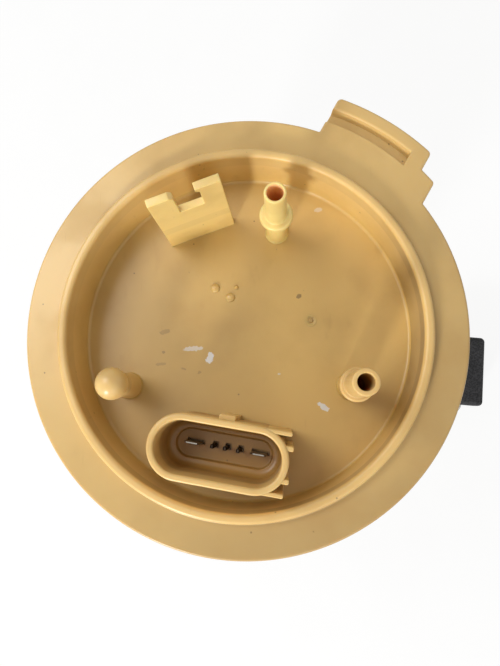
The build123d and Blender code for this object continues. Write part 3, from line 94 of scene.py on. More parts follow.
def rounded(corners: Array, radii: Array, steps: int = 7, closed: bool = True) -> Array:
    """Round the corners of an outline with arcs.

    Each corner point P has unit directions a and b to its two neighbours. The arc touches both
    sides at P + a t and P + b t, with t the radius over the tangent of half the corner's angle,
    and its points turn evenly about the centre from one touching point to the other. A sharp point
    that lies on a side within the reach of an arc is left out.

    Args:
        corners: Corner points, one row each, in two dimensions.
        radii: Arc radius at each corner; zero keeps it sharp.
        steps: Points on each arc.
        closed: Whether the last corner joins the first.

    Returns:
        The rounded outline, one row per point, without repeated points.
    """
    never_zero = 1e-12
    nearly_straight = radians(89.0)
    near = 1.05
    points = np.asarray(corners, float)
    radius = np.broadcast_to(np.asarray(radii, float), len(points)).copy()
    if not closed:
        radius[[0, -1]] = 0.0
    back = np.roll(points, 1, axis=0) - points
    ahead = np.roll(points, -1, axis=0) - points
    back /= np.linalg.norm(back, axis=1, keepdims=True) + never_zero
    ahead /= np.linalg.norm(ahead, axis=1, keepdims=True) + never_zero
    half = np.arccos(np.clip((back * ahead).sum(1), -1.0, 1.0)) / 2.0
    straight = half > nearly_straight
    radius[straight] = 0.0
    middle = back + ahead
    middle /= np.linalg.norm(middle, axis=1, keepdims=True) + never_zero
    centre = points + middle * (radius / np.sin(half))[:, None]
    reach = (radius / np.tan(np.where(straight, 1.0, half)))[:, None]
    first = points + back * reach - centre
    last = points + ahead * reach - centre
    turn = (pi - 2.0 * half)[:, None, None]
    share = np.linspace(0.0, 1.0, steps)[None, :, None]
    scale = np.sin(np.where(straight[:, None, None], 1.0, turn))
    arc = np.sin((1.0 - share) * turn) * first[:, None] + np.sin(share * turn) * last[:, None]
    arc = arc / scale
    arc = np.where((radius > 0.0)[:, None, None], arc + centre[:, None], points[:, None])
    apart = np.linalg.norm(points[:, None] - points[None], axis=2)
    covered = ((apart < reach[:, 0] * near) & (radius > 0.0)).any(1) & (radius == 0.0)
    outline = arc[~covered].reshape(-1, 2)
    step = np.linalg.norm(outline - np.roll(outline, 1, axis=0), axis=1)
    keep = step > TINY
    keep[0] = keep[0] or not closed
    return outline[keep]


def stadium(length: float, width: float, count: int = 96) -> Array:
    """Outline with straight sides and round ends, evenly spaced along its length.

    Args:
        length: Overall length along the first axis.
        width: Overall width.
        count: Number of points.

    Returns:
        The outline, anticlockwise, one row per point.
    """
    radius = width / 2.0
    turn = np.linspace(-pi / 2, pi / 2, 33)
    end = np.stack([np.cos(turn), np.sin(turn)], 1) * radius
    shift = np.array([length / 2 - radius, 0.0])
    return resample(np.concatenate([end + shift, -end - shift]), count)


def resample(outline: Array, count: int) -> Array:
    """Space points evenly along a closed outline.

    Args:
        outline: Closed outline, one row per point.
        count: Number of points wanted.

    Returns:
        Points at equal steps of length along the outline.
    """
    loop = np.concatenate([outline, outline[:1]])
    along = np.concatenate([[0.0], np.cumsum(np.linalg.norm(np.diff(loop, axis=0), axis=1))])
    wanted = np.arange(count) / count * along[-1]
    return np.stack([np.interp(wanted, along, loop[:, axis]) for axis in (0, 1)], 1)


def arc_points(radius: float, start: float, end: float, count: int = 40) -> Array:
    """Points on a circle about the origin between two angles in radians."""
    turn = np.linspace(start, end, count)
    return np.stack([radius * np.cos(turn), radius * np.sin(turn)], 1)


def edge_rows(low: float, high: float, low_round: float, high_round: float,
              steps: int = 5) -> Array:
    """Rows of a prism whose two edges are rounded.

    Each edge is a quarter circle: the inset falls from the radius to nothing as the height leaves
    the end face, then comes back at the other end. A narrow flat border keeps the end faces flat.

    Args:
        low: Lower end's height.
        high: Upper end's height.
        low_round: Radius of the lower edge.
        high_round: Radius of the upper edge.
        steps: Rows on each edge.

    Returns:
        Rows of (height, inset).
    """
    turn = np.linspace(0.0, pi / 2, steps)
    border = 0.15 * MM
    fall = np.stack([1 - np.sin(turn), 1 - np.cos(turn)], 1)
    lower = (fall * low_round + (low, 0.0))[::-1]
    upper = fall * (-high_round, high_round) + (high, 0.0)
    ends = (low, low_round + border), (high, high_round + border)
    return np.concatenate([ends[:1], lower, upper, ends[1:]])


# ---------------------------------------------------------------- surfaces
@dataclass(frozen=True)
class Place:
    """Where a piece's own directions lie in the frame."""

    origin: Point = (0.0, 0.0, 0.0)
    turn: float = 0.0
    upright: bool = False

    def put(self, points: Array) -> Array:
        """Move points from the piece's own directions into the frame.

        An upright piece has its outline in the vertical plane of its own first axis, with its
        thickness along its own second axis.

        Args:
            points: Points, one row each.

        Returns:
            The same points in the frame.
        """
        local = points[:, [0, 2, 1]] if self.upright else points
        c, s = np.cos(self.turn), np.sin(self.turn)
        x, y, z = local.T
        return np.stack([x * c - y * s, x * s + y * c, z], 1) + np.array(self.origin)


@dataclass
class Surface:
    """Vertices and faces that are collected before they go into a mesh."""

    vertices: list[Array] = field(default_factory=list)
    faces: list[list[int]] = field(default_factory=list)
    count: int = 0
    weld: float = 0.001 * MM

    def grid(self, rows: Array, wrap_rows: bool = False, caps: bool = False) -> "Surface":
        """Add a sheet of quads over a grid of points, whose last column joins the first.

        Args:
            rows: Points as (rows, columns, 3).
            wrap_rows: Whether the last row joins the first too.
            caps: Whether one face closes the first row and one the last.

        Returns:
            This surface.
        """
        height, width, _ = rows.shape
        index = np.arange(height * width).reshape(height, width) + self.count
        down = np.roll(index, -1, axis=0) if wrap_rows else index[1:]
        here = index if wrap_rows else index[:-1]
        right_here = np.roll(here, -1, axis=1)
        right_down = np.roll(down, -1, axis=1)
        quads = np.stack([here, right_here, right_down, down], -1)
        self.faces += quads.reshape(-1, 4).tolist()
        if caps:
            self.faces += [index[0, ::-1].tolist(), index[-1].tolist()]
        self.vertices.append(rows.reshape(-1, 3))
        self.count += height * width
        return self

    def join(self, other: "Surface") -> "Surface":
        """Add another surface's vertices and faces to this one.

        Args:
            other: The other surface.

        Returns:
            This surface.
        """
        self.vertices += other.vertices
        self.faces += [[index + self.count for index in face] for face in other.faces]
        self.count += other.count
        return self

    def place(self, place: Place) -> "Surface":
        """Move everything collected so far into the frame."""
        self.vertices = [place.put(points) for points in self.vertices]
        return self

    def piece(self, name: str) -> Piece:
        """Make the mesh object, with its faces outwards and its seams closed.

        Args:
            name: Name of the object.

        Returns:
            The object, at the origin.
        """
        mesh = bpy.data.meshes.new(name)
        mesh.from_pydata(np.concatenate(self.vertices), [], self.faces)
        work = bmesh.new()
        work.from_mesh(mesh)
        bmesh.ops.remove_doubles(work, verts=work.verts, dist=self.weld)
        bmesh.ops.recalc_face_normals(work, faces=work.faces)
        if work.calc_volume(signed=True) < 0.0:
            bmesh.ops.reverse_faces(work, faces=work.faces)
        work.to_mesh(mesh)
        work.free()
        mesh.shade_smooth()
        mesh.set_sharp_from_angle(angle=SMOOTH_ANGLE)
        obj = bpy.data.objects.new(name, mesh)
        bpy.context.scene.collection.objects.link(obj)
        return obj


def revolve(profile: Array, turns: int = 96, closed: bool = False, at: Pair = (0.0, 0.0)) -> Surface:
    """Surface of revolution about an upright axis.

    A profile point (r, z) at turn u lies at (r cos u, r sin u, z).

    Args:
        profile: Rows of (radius, height).
        turns: Number of steps round the axis.
        closed: Whether the profile is a closed loop, as on a bored piece.
        at: The axis's place.

    Returns:
        The surface.
    """
    turn = np.arange(turns) / turns * 2 * pi
    radius = np.maximum(profile[:, 0], 0.0)[:, None]
    height = np.broadcast_to(profile[:, 1][:, None], (len(profile), turns))
    rows = np.stack([radius * np.cos(turn) + at[0], radius * np.sin(turn) + at[1], height], -1)
    return Surface().grid(rows, wrap_rows=closed)


def inward_normals(outline: Array) -> Array:
    """Unit normals of an outline: its tangent turned left by a quarter.

    Args:
        outline: Closed outline, anticlockwise.

    Returns:
        One normal for each point, towards the inside.
    """
    never_zero = 1e-12
    tangent = np.roll(outline, -1, axis=0) - np.roll(outline, 1, axis=0)
    tangent /= np.linalg.norm(tangent, axis=1, keepdims=True) + never_zero
    return np.stack([-tangent[:, 1], tangent[:, 0]], 1)


def prism(outline: Array, rows: Array) -> Surface:
    """Prism whose outline is drawn in by an inset that changes with height.

    Row i holds outline + inset_i n, where n is the outline's inward normal.

    Args:
        outline: Closed outline, anticlockwise.
        rows: Rows of (height, inset).

    Returns:
        The closed surface.
    """
    flat = outline[None] + inward_normals(outline)[None] * rows[:, 1][:, None, None]
    height = np.broadcast_to(rows[:, 0][:, None, None], (*flat.shape[:2], 1))
    return Surface().grid(np.concatenate([flat, height], -1), caps=True)


def block(size: Pair, rows: Array, corner: float, at: Pair = (0.0, 0.0)) -> Surface:
    """Upright prism of a rectangle with rounded corners.

    Args:
        size: Length and width.
        rows: Rows of (height, inset).
        corner: Radius of the outline's corners.
        at: Middle of the rectangle.

    Returns:
        The closed surface.
    """
    half = np.array(size) / 2
    corners = np.array([[-1, -1], [1, -1], [1, 1], [-1, 1]]) * half + np.array(at)
    return prism(rounded(corners, corner, 5), rows)


def tube_along(path: Array, radius: Array | float, lean: Point, sides: int, bore: float = 0.0) -> Surface:
    """Round tube or bar along a path.

    The section at a path point with tangent t is radius (cos v n + sin v b), where n is the part
    of a fixed direction at right angles to t, made a unit, and b is t cross n.

    Args:
        path: Points along the middle.
        radius: Outer radius at each point, or one for all.
        lean: Fixed direction that the path never runs along.
        sides: Points round the section.
        bore: Radius of the bore; zero closes the ends instead.

    Returns:
        The closed surface.
    """
    tangent = np.gradient(path, axis=0)
    tangent /= np.linalg.norm(tangent, axis=1, keepdims=True)
    normal = np.array(lean) - (tangent @ np.array(lean))[:, None] * tangent
    normal /= np.linalg.norm(normal, axis=1, keepdims=True)
    binormal = np.cross(tangent, normal)
    turn = np.arange(sides) / sides * 2 * pi
    around = turn[None, :, None]
    ring = np.cos(around) * normal[:, None] + np.sin(around) * binormal[:, None]
    outer = path[:, None] + ring * np.broadcast_to(np.asarray(radius), len(path))[:, None, None]
    if not bore:
        return Surface().grid(outer, caps=True)
    inner = path[:, None] + ring * bore
    return Surface().grid(np.concatenate([outer, inner[::-1]]), wrap_rows=True)


def frozen(obj: Piece) -> bpy.types.Mesh:
    """Mesh of an object as its modifiers or its curve leave it."""
    bpy.context.view_layer.update()
    return bpy.data.meshes.new_from_object(obj.evaluated_get(bpy.context.evaluated_depsgraph_get()))


def smooth_route(points: Array, spacing: float) -> Array:
    """Points evenly spaced along the smooth spline that a route's control points draw.

    Args:
        points: Control points of the route.
        spacing: Distance between the points returned.

    Returns:
        Points along the spline, from end to end.
    """
    fewest = 8
    curve = bpy.data.curves.new("route", "CURVE")
    curve.dimensions = "3D"
    spline = curve.splines.new("NURBS")
    spline.points.add(len(points) - 1)
    spline.points.foreach_set("co", np.hstack([points, np.ones((len(points), 1))]).ravel())
    spline.order_u = 3
    spline.use_endpoint_u = True
    spline.resolution_u = 24
    holder = bpy.data.objects.new("route", curve)
    bpy.context.scene.collection.objects.link(holder)
    mesh = frozen(holder)
    line = np.zeros(len(mesh.vertices) * 3)
    mesh.vertices.foreach_get("co", line)
    line = line.reshape(-1, 3)
    bpy.data.meshes.remove(mesh)
    bpy.data.objects.remove(holder)
    bpy.data.curves.remove(curve)
    along = np.concatenate([[0.0], np.cumsum(np.linalg.norm(np.diff(line, axis=0), axis=1))])
    wanted = np.linspace(0.0, along[-1], max(int(along[-1] / spacing), fewest))
    return np.stack([np.interp(wanted, along, line[:, axis]) for axis in range(3)], 1)


def cut(obj: Piece, *tools: Surface) -> Piece:
    """Take closed surfaces away from a piece, and keep the result as its mesh.

    Args:
        obj: The piece.
        tools: Surfaces of the spaces that are cut out.

    Returns:
        The same piece.
    """
    for surface in tools:
        tool = surface.piece("cutter")
        step = obj.modifiers.new("cut", "BOOLEAN")
        step.operation = "DIFFERENCE"
        step.solver = "MANIFOLD"
        step.object = tool
        mesh = frozen(obj)
        obj.modifiers.clear()
        obj.data = mesh
        mesh.name = obj.name
        bpy.data.objects.remove(tool)
    obj.data.shade_smooth()
    obj.data.set_sharp_from_angle(angle=SMOOTH_ANGLE)
    return obj


# ---------------------------------------------------------------- finishes
class Pattern(Enum):
    """How a finish's fine pattern is laid out."""

    GRAIN = "even grain"
    DRAWN = "long streaks along the upright direction"
    TURNED = "fine rings left by a tool"
    WOVEN = "threads over and under"
    CELLS = "open cells of foam"
    STACKED = "thin sheets on each other"
    WOUND = "wire laid side by side"


EVEN = (1.0, 1.0, 1.0)
STRETCH = {
    Pattern.DRAWN: (1.0, 1.0, 0.03),
    Pattern.TURNED: (0.06, 0.06, 1.0),
    Pattern.STACKED: (0.02, 0.02, 1.0),
    Pattern.WOUND: (1.0, 1.0, 0.1),
}
# Settings that many nodes share.
TIMES = {"operation": "MULTIPLY"}
PLUS = {"operation": "ADD"}
LENGTH = {"operation": "LENGTH"}
SMOOTH = {"interpolation_type": "SMOOTHSTEP"}
# A colour mix takes its share at input 0 and its colours at 6 and 7, and gives the result at output 2.
TINTED = {"output": 2, "data_type": "RGBA"}


@dataclass
class Nodes:
    """The node tree of a material or a world while it is being put together."""

    holder: bpy.types.Material | bpy.types.World

    def __post_init__(self) -> None:
        """Empty the holder's tree."""
        self.holder.use_nodes = True
        self.tree = self.holder.node_tree
        self.tree.nodes.clear()

    def add(self, kind: str, inputs: Sequence | dict = (), output: int | str = 0,
            **settings: object) -> Socket | None:
        """Add one node with its settings and links.

        Args:
            kind: Blender's name for the node, after "ShaderNode".
            inputs: What its inputs take, in their order or by name or number: each a value, a hex
                colour or another node's output.
            output: Name or number of the output that is wanted.
            settings: The node's own settings.

        Returns:
            That output, or nothing where the node has none.
        """
        node = self.tree.nodes.new(f"ShaderNode{kind}")
        for key, value in settings.items():
            setattr(node, key, value)
        for key, value in inputs.items() if isinstance(inputs, dict) else enumerate(inputs):
            if isinstance(value, Socket):
                self.tree.links.new(value, node.inputs[key])
            else:
                node.inputs[key].default_value = linear(value) if isinstance(value, str) else value
        return node.outputs[output] if node.outputs else None


class Shader(Nodes):
    """A material's nodes, with patterns whose sizes are real ones in millimetres."""

    def __init__(self, name: str) -> None:
        """Make the material and start with the object's own coordinates.

        Args:
            name: Name of the material.
        """
        super().__init__(bpy.data.materials.new(name))
        self.where = self.add("TexCoord", output="Object")

    def cloud(self, size_mm: float, stretch: Point = EVEN, detail: float = 3.0,
              shift: float = 0.0) -> Socket:
        """Soft uneven pattern that fills the object's space.

        Args:
            size_mm: Size of its features.
            stretch: Factor on its density along each axis.
            detail: How many finer layers it holds.
            shift: How far it is moved along each axis, so that two patterns differ.

        Returns:
            Its value, from nothing to one.
        """
        scale = tuple(1.0 / (size_mm * MM) * part for part in stretch)
        moved = (shift, shift, shift)
        placed = self.add("Mapping", {"Vector": self.where, "Scale": scale, "Location": moved})
        return self.add("TexNoise", {"Vector": placed, "Scale": 1.0, "Detail": detail})

    def spot(self, x: float, y: float, size: Pair, turn: float) -> Socket:
        """Share that is one inside a ragged oval spot seen from above.

        A point is moved by up to half of the spot's width, then its distance from the middle is
        measured in units of the spot's length and width.

        Args:
            x: Its middle, in millimetres.
            y: Its middle, in millimetres.
            size: Its length and width, in millimetres.
            turn: Angle of its length, in degrees.

        Returns:
            The share.
        """
        length, width = size[0] * MM, size[1] * MM
        noise = self.add("TexNoise", {"Vector": self.where, "Scale": 1.6 / width, "Detail": 3.0}, "Color")
        ragged = self.add("VectorMath", (noise, (width,) * 3, (-0.5 * width,) * 3), operation="MULTIPLY_ADD")
        moved = self.add("VectorMath", (self.where, ragged), **PLUS)
        local = self.add("Mapping", {"Vector": moved, "Location": (x * MM, y * MM, 0.0),
                                     "Rotation": (0.0, 0.0, radians(turn)), "Scale": (length, width, 1.0)},
                         vector_type="TEXTURE")
        far = self.add("VectorMath", (self.add("VectorMath", (local, LEVEL), **TIMES),), "Value", **LENGTH)
        return self.add("MapRange", (far, 0.54, 0.46), **SMOOTH)

    def surface(self, inputs: dict, relief: tuple[Socket, float] | None = None) -> Socket:
        """Surface shader of the material.

        Args:
            inputs: What its inputs take, by name.
            relief: Height from nothing to one, and its depth in millimetres.

        Returns:
            The shader's output.
        """
        if relief:
            bump = {"Strength": 1.0, "Distance": relief[1] * MM, "Height": relief[0]}
            inputs = inputs | {"Normal": self.add("Bump", bump)}
        return self.add("BsdfPrincipled", inputs)


@dataclass(frozen=True)
class Finish:
    """A surface finish: its colours, its gloss and its fine pattern."""

    name: str
    light: str
    dark: str
    roughness: float
    pattern: Pattern = Pattern.GRAIN
    grain_mm: float = 0.8
    depth_mm: float = 0.02
    metallic: float = 0.0
    ior: float | None = 1.5
    wear: str | None = None

    def fine(self, shader: Shader) -> Socket:
        """Height of the fine pattern, from nothing to one.

        Args:
            shader: The material being made.

        Returns:
            The height.
        """
        if self.pattern is Pattern.CELLS:
            cells = {"Vector": shader.where, "Scale": 1.0 / (self.grain_mm * MM)}
            return shader.add("TexVoronoi", cells, "Distance", feature="F1")
        if self.pattern is Pattern.WOVEN:
            weave = {"Vector": shader.where, "Scale": WAVE_SHARE / (self.grain_mm * MM), "Distortion": 0.3}
            threads = [shader.add("TexWave", weave, "Fac", bands_direction=axis, wave_profile="SIN")
                       for axis in ("X", "Y")]
            return shader.add("Math", threads, operation="MAXIMUM")
        return shader.cloud(self.grain_mm, STRETCH.get(self.pattern, EVEN), 4.0)

    def material(self) -> bpy.types.Material:
        """Build the material: the dark and the light colour mixed by its fine and a broad pattern.

        Returns:
            The material, made once and then kept.
        """
        found = bpy.data.materials.get(self.name)
        if found:
            return found
        shader = Shader(self.name)
        broad_grains = 14.0
        patch_grains = 6.0
        fine_share = 0.45
        fine = self.fine(shader)
        broad = shader.cloud(self.grain_mm * broad_grains, detail=2.0)
        share = shader.add("Math", (shader.add("Math", (fine, fine_share), **TIMES),
                                    shader.add("Math", (broad, 1.0 - fine_share), **TIMES)), **PLUS)
        evened = shader.add("MapRange", (share, 0.3, 0.7), **SMOOTH)
        colour = shader.add("Mix", {0: evened, 6: self.dark, 7: self.light}, **TINTED)
        if self.wear:
            patches = shader.cloud(self.grain_mm * patch_grains, detail=6.0, shift=3.0)
            rubbed = shader.add("MapRange", (patches, 0.6, 0.72), **SMOOTH)
            colour = shader.add("Mix", {0: rubbed, 6: colour, 7: self.wear}, **TINTED)
        dull, bright = self.roughness * 1.15, self.roughness * 0.85
        rough = shader.add("MapRange", (share, 0.2, 0.8, dull, bright), **SMOOTH)
        inputs = {"Base Color": colour, "Roughness": rough, "Metallic": self.metallic}
        if self.ior is not None:
            inputs["IOR"] = self.ior
        shader.add("OutputMaterial", (shader.surface(inputs, (fine, self.depth_mm)),))
        return shader.holder


@dataclass(frozen=True)
class Metal(Finish):
    """A bare metal's finish, which keeps the default index of refraction."""

    metallic: float = 1.0
    ior: float | None = None


@dataclass(frozen=True)
class Mark:
    """A smudge or a scrap on the recess floor, in millimetres and degrees."""

    x: float
    y: float
    size: Pair
    turn: float
    share: float
    paper: bool = False


RECESS_MARKS = (
    Mark(22.2, 16.4, (2.6, 1.7), 20.0, 0.6), Mark(30.7, 53.6, (3.4, 1.6), 15.0, 0.35, True),
    Mark(-34.1, 1.8, (4.4, 2.0), 20.0, 0.28), Mark(-34.6, -6.9, (1.4, 1.2), 0.0, 0.4),
    Mark(-35.6, -11.8, (4.6, 1.3), 5.0, 0.25), Mark(-26.0, -13.8, (2.6, 0.9), -15.0, 0.3),
    Mark(26.6, 6.2, (3.0, 2.6), 0.0, 0.3), Mark(-19.4, -15.4, (1.8, 1.2), 30.0, 0.3),
    Mark(-15.0, -9.4, (5.0, 2.6), 78.0, 0.95, True), Mark(31.4, -29.4, (5.2, 2.2), -35.0, 0.9, True),
    Mark(13.6, -16.1, (1.2, 0.8), 0.0, 0.5, True), Mark(-22.2, -5.5, (8.0, 2.0), 3.0, 0.6, True),
)


@dataclass(frozen=True)
class UsedAcetal:
    """Injection moulded acetal in tan that has been in use: satin, slightly translucent and stained, with
    painted shade and painted light laid into its colour.
    """

    name: str = "moulded_acetal_tan_used_shaded"
    base: str = "#DCB977"
    recess_shade: str = "#C9A559"
    stain_and_shade: str = "#A67F45"
    soot_and_shade: str = "#5B4630"
    paper: str = "#DDDCDA"
    roughness: float = 0.33
    mouth_shade: float = 0.0
    bore: Pair | None = None
    glow: str = "#FFC98C"
    ior: float = 1.48
    scatter: float = 0.35
    scatter_depth: float = 2.6 * MM

    def moulded(self, shader: Shader, height: Socket, inside: Socket) -> Socket:
        """Colour of the moulding: paler on the rim, with painted shade deeper in the recess and low in the
        mouth.

        Args:
            shader: Material that is being built.
            height: Place along Z.
            inside: Share that is one on the recess floor.

        Returns:
            The colour, with the painted shade over it.
        """
        # Painted shade: the recess floor is mixed towards the deeper colour.
        recess_shade_share = shader.add("Math", (inside, 0.55), **TIMES)
        colour = shader.add("Mix", {0: recess_shade_share, 6: self.base, 7: self.recess_shade}, **TINTED)
        # Painted shade: lower down the colour is multiplied towards the stain colour, most in the
        # connector's mouth.
        mouth_shade = shader.add("MapRange", (height, 14.0 * MM, -4.0 * MM, 0.0, self.mouth_shade), **SMOOTH)
        colour = shader.add("Mix", {0: mouth_shade, 6: colour, 7: self.stain_and_shade}, blend_type="MULTIPLY", **TINTED)
        return self.painted_shade(shader, colour, height)

    def painted_shade(self, shader: Shader, colour: Socket, height: Socket) -> Socket:
        """Lay painted brown shade on the rim, growing towards plus x and minus y, on the wall at plus x and
        on the floor towards minus x.

        Args:
            shader: Material that is being built.
            colour: Colour under the film.
            height: Place along Z.

        Returns:
            The colour with the painted shade over it.
        """
        across = shader.add("SeparateXYZ", (shader.where,), "X")
        along = shader.add("SeparateXYZ", (shader.where,), "Y")
        uneven = shader.add("MapRange", (shader.cloud(34.0, shift=3.0), 0.30, 0.62, 0.7, 1.0), **SMOOTH)
        level = shader.add("VectorMath", (shader.where, LEVEL), **TIMES)
        far = shader.add("VectorMath", (level,), "Value", **LENGTH)
        corner = shader.add("Math", (shader.add("Math", (across, 0.6), **TIMES),
                                     shader.add("Math", (along, 0.8), **TIMES)), operation="SUBTRACT")
        # Each patch of painted shade is a product of shares: (source, from, to, share at from, share at to),
        # in mm.
        painted_shades = (
            ((height, 6.6, 6.0, 0.0, 1.0), (height, 0.5, 1.0, 0.0, 1.0), (corner, -60.0, 80.0, 0.08, 0.38)),
            ((far, 69.5, 68.8, 0.0, 1.0), (height, -13.6, -12.6, 0.0, 1.0), (height, 7.2, 5.2, 0.0, 1.0),
             (across, 52.0, 64.0, 0.0, 0.5)),
            ((height, -12.6, -13.6, 0.0, 1.0), (across, 22.0, -18.0, 0.0, 0.17)),
        )
        for painted_shade in painted_shades:
            shares = [shader.add("MapRange", (source, start * MM, end * MM, low, high), **SMOOTH)
                      for source, start, end, low, high in painted_shade]
            share = reduce(lambda one, other: shader.add("Math", (one, other), **TIMES), [*shares, uneven])
            # Painted shade: each patch mixes the colour towards the dark brown.
            colour = shader.add("Mix", {0: share, 6: colour, 7: self.soot_and_shade}, **TINTED)
        return colour

    def lit_bore(self, shader: Shader, colour: Socket) -> Socket:
        """Paint the bore of a thin stem with an orange glow, for light that comes through its wall.

        Args:
            shader: Material that is being built.
            colour: Colour elsewhere.

        Returns:
            The colour with the glow inside the bore.
        """
        middle = (-self.bore[0] * MM, -self.bore[1] * MM, 0.0)
        axis = shader.add("VectorMath", (shader.where, LEVEL, middle), operation="MULTIPLY_ADD")
        off = shader.add("VectorMath", (axis,), "Value", **LENGTH)
        within = shader.add("MapRange", (off, 3.2 * MM, 3.0 * MM), **SMOOTH)
        # Painted glow: inside the bore the colour turns to the glow colour.
        return shader.add("Mix", {0: within, 6: colour, 7: self.glow}, **TINTED)

    def traces(self, shader: Shader, inside: Socket) -> list[tuple[Socket, str]]:
        """Traces of use: dried smudges inside the recess, hairline scratches and specks of dirt.

        Args:
            shader: Material that is being built.
            inside: Share that is one on the recess floor.

        Returns:
            The share and the tone of each.
        """
        dried = shader.cloud(9.0, (1.0, 0.45, 1.0), 6.0, 7.0)
        rings = shader.add("MapRange", (dried, 0.60, 0.78, 0.0, 0.35), **SMOOTH)
        smudge = shader.add("Math", (rings, inside), **TIMES)
        hairs = shader.cloud(1.3, (1.0, 0.09, 0.2), 3.0, 2.0)
        scratch = shader.add("MapRange", (hairs, 0.68, 0.80, 0.0, 0.16), **SMOOTH)
        grid = {"Vector": shader.where, "Scale": 1.0 / (5.5 * MM)}
        cells = shader.add("TexVoronoi", grid, "Distance", feature="F1")
        speck = shader.add("MapRange", (cells, 0.085, 0.05), **SMOOTH)
        sparse = shader.add("MapRange", (shader.cloud(14.0, detail=1.0, shift=11.0), 0.56, 0.6), **SMOOTH)
        dots = shader.add("Math", (shader.add("Math", (speck, sparse), **TIMES), 0.55), **TIMES)
        return [(smudge, self.stain_and_shade), (scratch, self.stain_and_shade), (dots, self.soot_and_shade)]

    def marks(self, shader: Shader, height: Socket) -> list[tuple[Socket, str]]:
        """Smudges and scraps that lie on the recess floor and nowhere above it.

        Args:
            shader: Material that is being built.
            height: Place along Z.

        Returns:
            The share and the tone of each.
        """
        low = shader.add("MapRange", (height, -12.5 * MM, -13.2 * MM), **SMOOTH)
        found = []
        for mark in RECESS_MARKS:
            spot = shader.spot(mark.x, mark.y, mark.size, mark.turn)
            share = shader.add("Math", (shader.add("Math", (spot, mark.share), **TIMES), low), **TIMES)
            found.append((share, self.paper if mark.paper else self.soot_and_shade))
        return found

    def material(self) -> bpy.types.Material:
        """Build the material.

        The recess is painted a deeper, warmer tan than the rim, as shade.
        Dried smudges, hairline scratches, dirt specks and scraps of paper lie on its floor.

        Returns:
            The material, made once and then kept.
        """
        found = bpy.data.materials.get(self.name)
        if found:
            return found
        shader = Shader(self.name)
        height = shader.add("SeparateXYZ", (shader.where,), "Z")
        inside = shader.add("MapRange", (height, 5.0 * MM, -12.0 * MM), **SMOOTH)
        colour = self.moulded(shader, height, inside)
        if self.bore:
            colour = self.lit_bore(shader, colour)
        cloud = shader.add("MapRange", (shader.cloud(26.0, detail=4.0), 0.42, 0.75, 0.0, 0.30), **SMOOTH)
        layers = [(cloud, self.stain_and_shade), *self.traces(shader, inside), *self.marks(shader, height)]
        for share, tone in layers:
            colour = shader.add("Mix", {0: share, 6: colour, 7: tone}, **TINTED)
        rough = shader.add("MapRange", (cloud, 0.0, 0.3, self.roughness, self.roughness * 1.35), **SMOOTH)
        fine = shader.add("Math", (shader.cloud(0.5), 0.4), **TIMES)
        relief = shader.add("Math", (fine, shader.cloud(6.0, detail=2.0, shift=5.0)), **PLUS)
        surface = shader.surface({
            "Base Color": colour, "Roughness": rough, "Metallic": 0.0, "IOR": self.ior,
            "Subsurface Weight": self.scatter, "Subsurface Radius": (1.0, 0.66, 0.30),
            "Subsurface Scale": self.scatter_depth,
        }, (relief, 0.05))
        shader.add("OutputMaterial", (surface,))
        return shader.holder


# Used tan acetal is satin, with a warm glow in its edges, painted shade deepening its recess and painted
# brown shade on its rim, one wall and its floor.
TAN = UsedAcetal()
# The connector's mouth is painted browner towards its floor, as shade.
MOUTH = UsedAcetal("moulded_acetal_tan_mouth_shaded", mouth_shade=0.6)
# The free-standing stem and clip are a paler, yellower copy of the tan: painted light.
LIT_TAN = UsedAcetal("moulded_acetal_tan_lit", base="#EBCF86", recess_shade="#E0BF70")
# The return stem is a paler, yellower tan, painted light, and its bore is painted an orange glow for light
# that comes through its thin wall.
LIT_STEM = UsedAcetal("moulded_acetal_tan_lit_stem", base="#EFD68A", recess_shade="#E0BF70", bore=(13.1, 43.9))
# Below, in order: name, light and dark colour, roughness, pattern, then its grain and depth in mm.
# Natural acetal is milky white and turns cream in fuel.
NATURAL = Finish("moulded_acetal_natural", "#E8E5D9", "#DDD8C8", 0.40, wear="#D8CFB4")
# Acetal filled with carbon black is a deep satin black with a light bloom.
BLACK = Finish("moulded_acetal_black", "#2A2A2C", "#1B1B1D", 0.45, wear="#3A3A3B")
# Turned acetal is ivory, with fine tool rings that break up its sheen.
TURNED_ACETAL = Finish("turned_acetal_bearing", "#E9E6DC", "#D6D0BF", 0.35, Pattern.TURNED, 0.4)
# Glass fibres close under the skin make filled PPS greyish black and nearly matt.
GLASS_FILLED = Finish("moulded_pps_glass_filled", "#2B2A2A", "#1D1C1C", 0.55, Pattern.GRAIN, 0.5, 0.03)
# Nitrile rubber is a dull black that spreads every reflection wide.
RUBBER = Finish("moulded_nitrile_rubber", "#232325", "#151516", 0.62, Pattern.GRAIN, 0.6, 0.03)
# Closed-cell foam shows small burst cells where its skin was cut.
FOAM = Finish("moulded_nitrile_foam", "#2B2B2E", "#161618", 0.85, Pattern.CELLS, 1.1, 0.35)
# Zinc on drawn steel is bright silver grey, with highlights drawn out along the metal.
ZINC = Metal("drawn_steel_zinc_plated", "#BFC0BC", "#9A9B98", 0.28, Pattern.DRAWN, 0.6, 0.01)
# Cold drawn spring wire is mid grey, with a narrow highlight round each turn.
WIRE = Metal("cold_drawn_spring_wire", "#A7A6A3", "#7C7B79", 0.32, Pattern.GRAIN, 1.4, 0.01)
# Drawn stainless wire is paler than spring wire, and its highlight is sharper.
STAINLESS = Metal("drawn_stainless_wire", "#C9C8C4", "#A5A4A0", 0.25, Pattern.GRAIN, 1.2, 0.01)
# Tin on brass is a soft warm grey that dulls in patches.
BLADE = Metal("stamped_brass_tin_plated", "#C4C0B6", "#8F8B80", 0.35, Pattern.GRAIN, 0.5, 0.01)
# The thin pins are painted almost black, as shade deep in their socket.
SHADED_PINS = Metal("stamped_brass_shaded", "#4C4238", "#2A231C", 0.50, Pattern.GRAIN, 0.4, 0.01)
